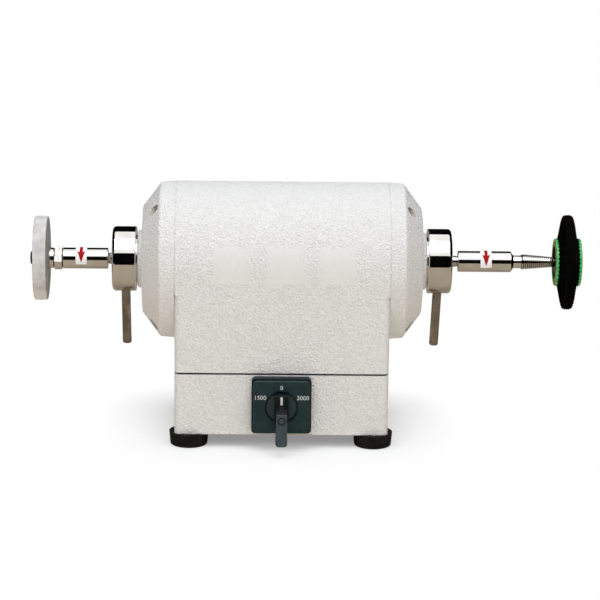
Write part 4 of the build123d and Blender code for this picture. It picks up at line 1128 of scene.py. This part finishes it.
@dataclass
class ArrowBand:
    """A white band on a spindle with a red arrow that shows the way it turns. Angles are in degrees."""

    palette: Palette
    side: Side
    centre: float
    radius: float = 11.0 * MM
    width: float = 11.6 * MM
    thickness: float = 0.6 * MM
    low_angle: float = -22.0
    high_angle: float = 206.0
    steps: int = 64
    tip_angle: float = -11.0
    barb_angle: float = 52.0
    notch_angle: float = 46.0
    tail_angle: float = 118.0
    bend_angle: float = 4.0
    head_half: float = 4.3 * MM
    stem_half: float = 1.7 * MM
    ink: float = 0.05 * MM

    def add_piece(self, name: str, mesh: Mesh, finish: Finish) -> None:
        """Make a piece of the band, named for its side."""
        side = self.side.value
        self.palette.piece(f"{side}_{name}", mesh, finish, f"{side}_tool", "spindle_chrome", crease=40.0)

    def build_band(self) -> None:
        """Model the band, wrapped over the top of the spindle."""
        outer = self.radius + self.thickness
        low, high = self.centre - self.width / 2, self.centre + self.width / 2
        profile = [(low, self.radius), (high, self.radius), (high, outer), (low, outer)]
        turn = math.radians(self.low_angle - self.high_angle)
        mesh = swept(profile, self.steps, math.radians(self.low_angle), turn)
        self.add_piece("arrow_band", mesh, LABEL)

    def build_arrow(self) -> None:
        """Model the arrow as a thin layer of ink, bent round the band."""
        half = [(0.0, self.tip_angle), (self.head_half, self.barb_angle), (self.stem_half, self.notch_angle),
                (self.stem_half, self.tail_angle)]
        outline = half + [(-x, angle) for x, angle in reversed(half[1:])]
        mesh = bmesh.new()
        mesh.faces.new([mesh.verts.new((x, math.radians(angle), 0.0)) for x, angle in outline])
        bends = math.ceil((self.tail_angle - self.tip_angle) / self.bend_angle)
        for bend in range(1, bends):
            cut_across(mesh, math.radians(self.tip_angle + bend * self.bend_angle))
        thicken(mesh, (0.0, 0.0, self.ink))
        outer = self.radius + self.thickness
        for vert in mesh.verts:
            vert.co = round_shaft(self.centre + vert.co.x, outer + vert.co.z, vert.co.y)
        outward(mesh)
        self.add_piece("arrow", mesh, RED_INK)

    def build(self) -> None:
        """Model the band and its arrow."""
        self.build_band()
        self.build_arrow()


@dataclass
class SwitchMarks:
    """The plain numbers round the switch, and the pointer and screw cap of its handle."""

    palette: Palette
    figure_height: float = 4.5 * MM
    figure_share: float = 0.7
    figure_steps: int = 6
    thinning: float = 0.015 * MM
    ink: float = 0.12 * MM
    zero_rise: float = 20.8 * MM
    speed_rise: float = 10.2 * MM
    speed_spread: float = 22.1 * MM
    pointer_rise: float = 9.9 * MM
    pointer_length: float = 8.6 * MM
    pointer_width: float = 2.6 * MM
    pointer_round: float = 0.5 * MM
    plug_radius: float = 2.7 * MM
    plug_set_back: float = 0.1 * MM
    groove_set_back: float = 0.6 * MM
    disc_sides: int = 48

    def build_figures(self, name: str, figures: str, x: float, rise: float) -> None:
        """Print a number on the dial plate.

        Args:
            name: The piece's name.
            figures: The number.
            x: Place of its middle along X.
            rise: Height of its middle over the switch's axis.
        """
        curve = bpy.data.curves.new(name, "FONT")
        curve.body = figures
        curve.align_x = "CENTER"
        curve.align_y = "CENTER"
        curve.size = self.figure_height / self.figure_share
        curve.extrude = self.ink / 2
        curve.offset = -self.thinning
        curve.resolution_u = self.figure_steps
        text = bpy.data.objects.new(name, curve)
        bpy.context.scene.collection.objects.link(text)
        bpy.context.view_layer.update()
        data = bpy.data.meshes.new_from_object(text.evaluated_get(bpy.context.evaluated_depsgraph_get()))
        bpy.data.objects.remove(text)
        mesh = bmesh.new()
        mesh.from_mesh(data)
        bpy.data.meshes.remove(data)
        bmesh.ops.remove_doubles(mesh, verts=mesh.verts, dist=WELD)
        face = corners_of("switch_dial_plate")[0].y
        place = Vector((x, face - self.ink / 2, middle_of("switch_shaft").z + rise))
        bmesh.ops.transform(mesh, matrix=Matrix.Translation(place) @ UPRIGHT, verts=mesh.verts)
        self.palette.piece(name, mesh, WHITE_INK, "machine", "switch_plastic")

    def build_pointer(self) -> None:
        """Model the pointer, a filled groove on the front of the handle."""
        front = corners_of("switch_knob")[0].y
        place = Vector((0.0, front, middle_of("switch_shaft").z + self.pointer_rise))
        size = (self.pointer_width, 2 * self.ink, self.pointer_length)
        mesh = bmesh.new()
        matrix = Matrix.Translation(place) @ Matrix.Diagonal((*size, 1.0))
        bmesh.ops.create_cube(mesh, size=1.0, matrix=matrix)
        short = [edge for edge in mesh.edges if abs(edge.verts[0].co.y - edge.verts[1].co.y) > self.ink]
        round_off(mesh, short, self.pointer_round, 4)
        self.palette.piece("switch_pointer", mesh, GREY_INK, "switch_handle", "switch_plastic")

    def build_disc(self, name: str, finish: Finish, radius: float, set_back: float) -> bpy.types.Object:
        """Model one disc in the screw hole of the grip.

        Args:
            name: The disc's name.
            finish: Its finish.
            radius: Its radius.
            set_back: Distance of its face behind the face of the plain cap.

        Returns:
            The new object.
        """
        low, high = corners_of("switch_screw_cap")
        place = middle_of("switch_screw_cap") + Vector((0.0, set_back / 2, 0.0))
        mesh = bmesh.new()
        bmesh.ops.create_cone(mesh, cap_ends=True, segments=self.disc_sides, radius1=radius, radius2=radius,
                              depth=high.y - low.y - set_back, matrix=Matrix.Translation(place) @ UPRIGHT)
        return self.palette.piece(name, mesh, finish, "switch_handle", "switch_plastic")

    def build_cap(self) -> None:
        """Model the screw cap as a plug with a dark groove round it, in place of the plain cap."""
        radius = half_of("switch_screw_cap").x
        groove = self.build_disc("screw_cap_groove", FRAME, radius, self.groove_set_back)
        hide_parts("switch_screw_cap")
        self.build_disc("screw_cap_plug", GRIP, self.plug_radius, self.plug_set_back)

    def build(self) -> None:
        """Print the numbers and model the pointer and the cap."""
        self.build_figures("dial_zero", "0", 0.0, self.zero_rise)
        self.build_figures("dial_slow", "1500", -self.speed_spread, self.speed_rise)
        self.build_figures("dial_fast", "3000", self.speed_spread, self.speed_rise)
        self.build_pointer()
        self.build_cap()


@dataclass
class LabelFilms:
    """Blank squares of clear film on the rounded front of the case.

    The top_rise is measured along the surface, from the height of the shaft.
    """

    palette: Palette
    size: float = 38.0 * MM
    thickness: float = 0.12 * MM
    top_rise: float = 31.0 * MM
    places: tuple[float, ...] = (-53.0 * MM, 2.2 * MM, 56.0 * MM)
    corner: float = 1.2 * MM
    bends: int = 20

    def build_film(self, name: str, x: float) -> None:
        """Model one film that follows the case.

        Args:
            name: The piece's name.
            x: Place of its middle along X.
        """
        mesh = bmesh.new()
        bmesh.ops.create_grid(mesh, x_segments=1, y_segments=1, size=self.size / 2)
        round_off(mesh, mesh.verts[:], self.corner, 5, Rounding.CORNERS)
        for bend in range(1, self.bends):
            cut_across(mesh, self.size * (bend / self.bends - 0.5))
        thicken(mesh, (0.0, 0.0, self.thickness))
        radius = half_of("motor_case").y
        for vert in mesh.verts:
            rise = self.top_rise - self.size / 2 + vert.co.y
            bent = round_shaft(x + vert.co.x, radius + vert.co.z, max(rise, 0.0) / radius)
            vert.co = bent + Vector((0.0, 0.0, min(rise, 0.0)))
        outward(mesh)
        self.palette.piece(name, mesh, FILM, "machine", "body_paint", crease=50.0)

    def build(self) -> None:
        """Model the three squares."""
        for number, x in enumerate(self.places, 1):
            self.build_film(f"label_film_{number}", x)


@dataclass(frozen=True)
class Card:
    """A card that only mirrors show, as a photographer sets up for bright metal."""

    name: str
    place: Triple
    facing: Facing
    size: Point
    colour: Colour = (4, 4, 4)


CARDS = (
    Card("left_card", (-1.4, 0.0, 1.3), Facing.SIDE, (2.6, 2.6)),
    Card("right_card", (1.4, 0.0, 1.3), Facing.SIDE, (2.6, 2.6)),
    Card("front_card", (0.0, -1.1, 0.43), Facing.FRONT, (5.0, 0.86)),
    Card("back_card", (0.0, 1.1, 0.92), Facing.FRONT, (5.0, 1.84)),
    Card("table_card", (0.0, 0.0, 0.4 * MM), Facing.UP, (3.4, 2.2), (162, 150, 133)),
)


@dataclass
class Studio:
    """The pale floor, the soft lights, the cards that metal mirrors, and the camera.

    The shaft_pixel is where the middle of the shaft falls in the square picture.
    """

    lens: float = 165.0
    sensor: float = 36.0
    picture: float = 600.0
    distance: float = 2.9
    azimuth: float = 1.08
    elevation: float = 14.0
    roll: float = 0.75
    shaft_pixel: Point = (282.0, 259.8)
    floor_size: float = 6.0
    floor_seen: Colour = (240, 240, 240)
    floor_lit: Colour = (248, 238, 224)
    floor_glow: float = 0.26
    glow_inset: float = 25 * MM
    glow_reach: float = 105 * MM
    sky: float = 1.12
    sky_colour: Colour = (246, 250, 255)
    side_colour: Colour = (66, 41, 16)
    side_span: Point = (0.12, 0.66)
    key_colour: Triple = (0.96, 0.985, 1.0)
    key_power: float = 24.6
    key_size: Point = (2.0, 1.3)
    key_place: Triple = (0.0, -0.65, 1.72)
    key_aim: Triple = (0.0, 0.0, 0.1)

    def build_camera(self) -> None:
        """Place the camera so that the middle of the shaft falls on its place in the picture."""
        turn = Matrix.Identity(4)
        for degrees, axis in ((-self.azimuth, "Z"), (90 - self.elevation, "X"), (self.roll, "Z")):
            turn @= Matrix.Rotation(math.radians(degrees), 4, axis)
        pixel = self.distance * self.sensor / self.lens / self.picture
        across = (self.picture / 2 - self.shaft_pixel[0]) * pixel
        above = (self.shaft_pixel[1] - self.picture / 2) * pixel
        place = shaft_centre() + turn @ Vector((across, above, self.distance))
        data = bpy.data.cameras.new("camera")
        data.lens = self.lens
        data.sensor_width = self.sensor
        camera = bpy.data.objects.new("camera", data)
        camera.matrix_world = Matrix.Translation(place) @ turn
        bpy.context.scene.collection.objects.link(camera)
        bpy.context.scene.camera = camera

    def build_floor(self) -> None:
        """Make the floor, which is pale, keeps the shadow near the base and is white past it."""
        graph = Coat("floor_paint")
        core = half_of("base_box") - Vector((self.glow_inset, self.glow_inset, 0.0))
        past = graph.vector("SUBTRACT", graph.vector("ABSOLUTE", graph.place), core)
        gap = graph.length(graph.vector("MAXIMUM", past))
        far = graph.level(gap, self.floor_glow, 1.0, 0.0, self.glow_reach)
        seen = graph.seen()
        glow = graph.add("ShaderNodeEmission", {"Color": WHITE, "Strength": 1.0})
        shade = graph.mix(seen, linear(self.floor_lit), linear(self.floor_seen))
        matt = graph.add("ShaderNodeBsdfDiffuse", {"Color": shade})
        inputs = {0: graph.times(far, seen), 1: matt.outputs["BSDF"], 2: glow.outputs["Emission"]}
        blend = graph.add("ShaderNodeMixShader", inputs)
        graph.feed(graph.tree.nodes["Material Output"].inputs["Surface"], blend.outputs["Shader"])
        mesh = bmesh.new()
        bmesh.ops.create_grid(mesh, x_segments=1, y_segments=1, size=self.floor_size)
        put("floor", mesh, graph.material)

    def build_card(self, card: Card) -> None:
        """Set up one card.

        Args:
            card: The card.
        """
        graph = Coat(card.name)
        graph.lay(linear(card.colour), 1.0, Specular_IOR_Level=0.0)
        degrees, axis = card.facing.value
        turn = Matrix.Rotation(math.radians(degrees), 4, axis)
        matrix = Matrix.Translation(card.place) @ turn @ Matrix.Diagonal((*card.size, 1.0, 1.0))
        mesh = bmesh.new()
        bmesh.ops.create_grid(mesh, x_segments=1, y_segments=1, size=0.5, matrix=matrix)
        thing = put(card.name, mesh, graph.material)
        thing.visible_camera = False
        thing.visible_diffuse = False
        thing.visible_transmission = False
        thing.visible_shadow = False

    def build_sky(self) -> None:
        """Set up a sky that is dark and warm at both sides, and that cameras and mirrors see as white."""
        world = bpy.data.worlds.new("studio")
        bpy.context.scene.world = world
        world.use_nodes = True
        graph = Graph(world.node_tree)
        way = graph.add("ShaderNodeTexCoord").outputs["Generated"]
        sideways = graph.rise(graph.length(graph.vector("MULTIPLY", way, SHAFT_AXIS)), *self.side_span)
        sky = graph.mix(sideways, linear(self.sky_colour), linear(self.side_colour))
        seen = graph.seen()
        background = graph.tree.nodes["Background"]
        graph.feed(background.inputs["Color"], graph.mix(seen, sky, WHITE))
        graph.feed(background.inputs["Strength"], graph.level(seen, self.sky, 1.0, 0.0, 1.0))

    def build_light(self) -> None:
        """Hang one large soft light overhead."""
        data = bpy.data.lights.new("key", "AREA")
        data.shape = "RECTANGLE"
        data.size, data.size_y = self.key_size
        data.energy = self.key_power
        data.color = self.key_colour
        key = bpy.data.objects.new("key", data)
        aim = Vector(self.key_aim) - Vector(self.key_place)
        turn = aim.to_track_quat("-Z", "Y").to_matrix().to_4x4()
        key.matrix_world = Matrix.Translation(self.key_place) @ turn
        bpy.context.scene.collection.objects.link(key)

    def build(self) -> None:
        """Set up the whole studio."""
        bpy.context.scene.view_settings.view_transform = "Standard"
        self.build_camera()
        self.build_floor()
        for card in CARDS:
            self.build_card(card)
        self.build_sky()
        self.build_light()


def main() -> None:
    """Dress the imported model, add the modelled detail and set up the studio."""
    logging.basicConfig(level=logging.INFO, format="%(name)s: %(message)s")
    palette = Palette()
    palette.dress_nodes()
    Studio().build()
    FeltWheel(palette).build()
    LatheBrush(palette).build()
    SpindleThread(palette).build()
    for side, centre in BAND_PLACES.items():
        ArrowBand(palette, side, centre).build()
    SwitchMarks(palette).build()
    LabelFilms(palette).build()


if __name__ == "__main__":
    main()
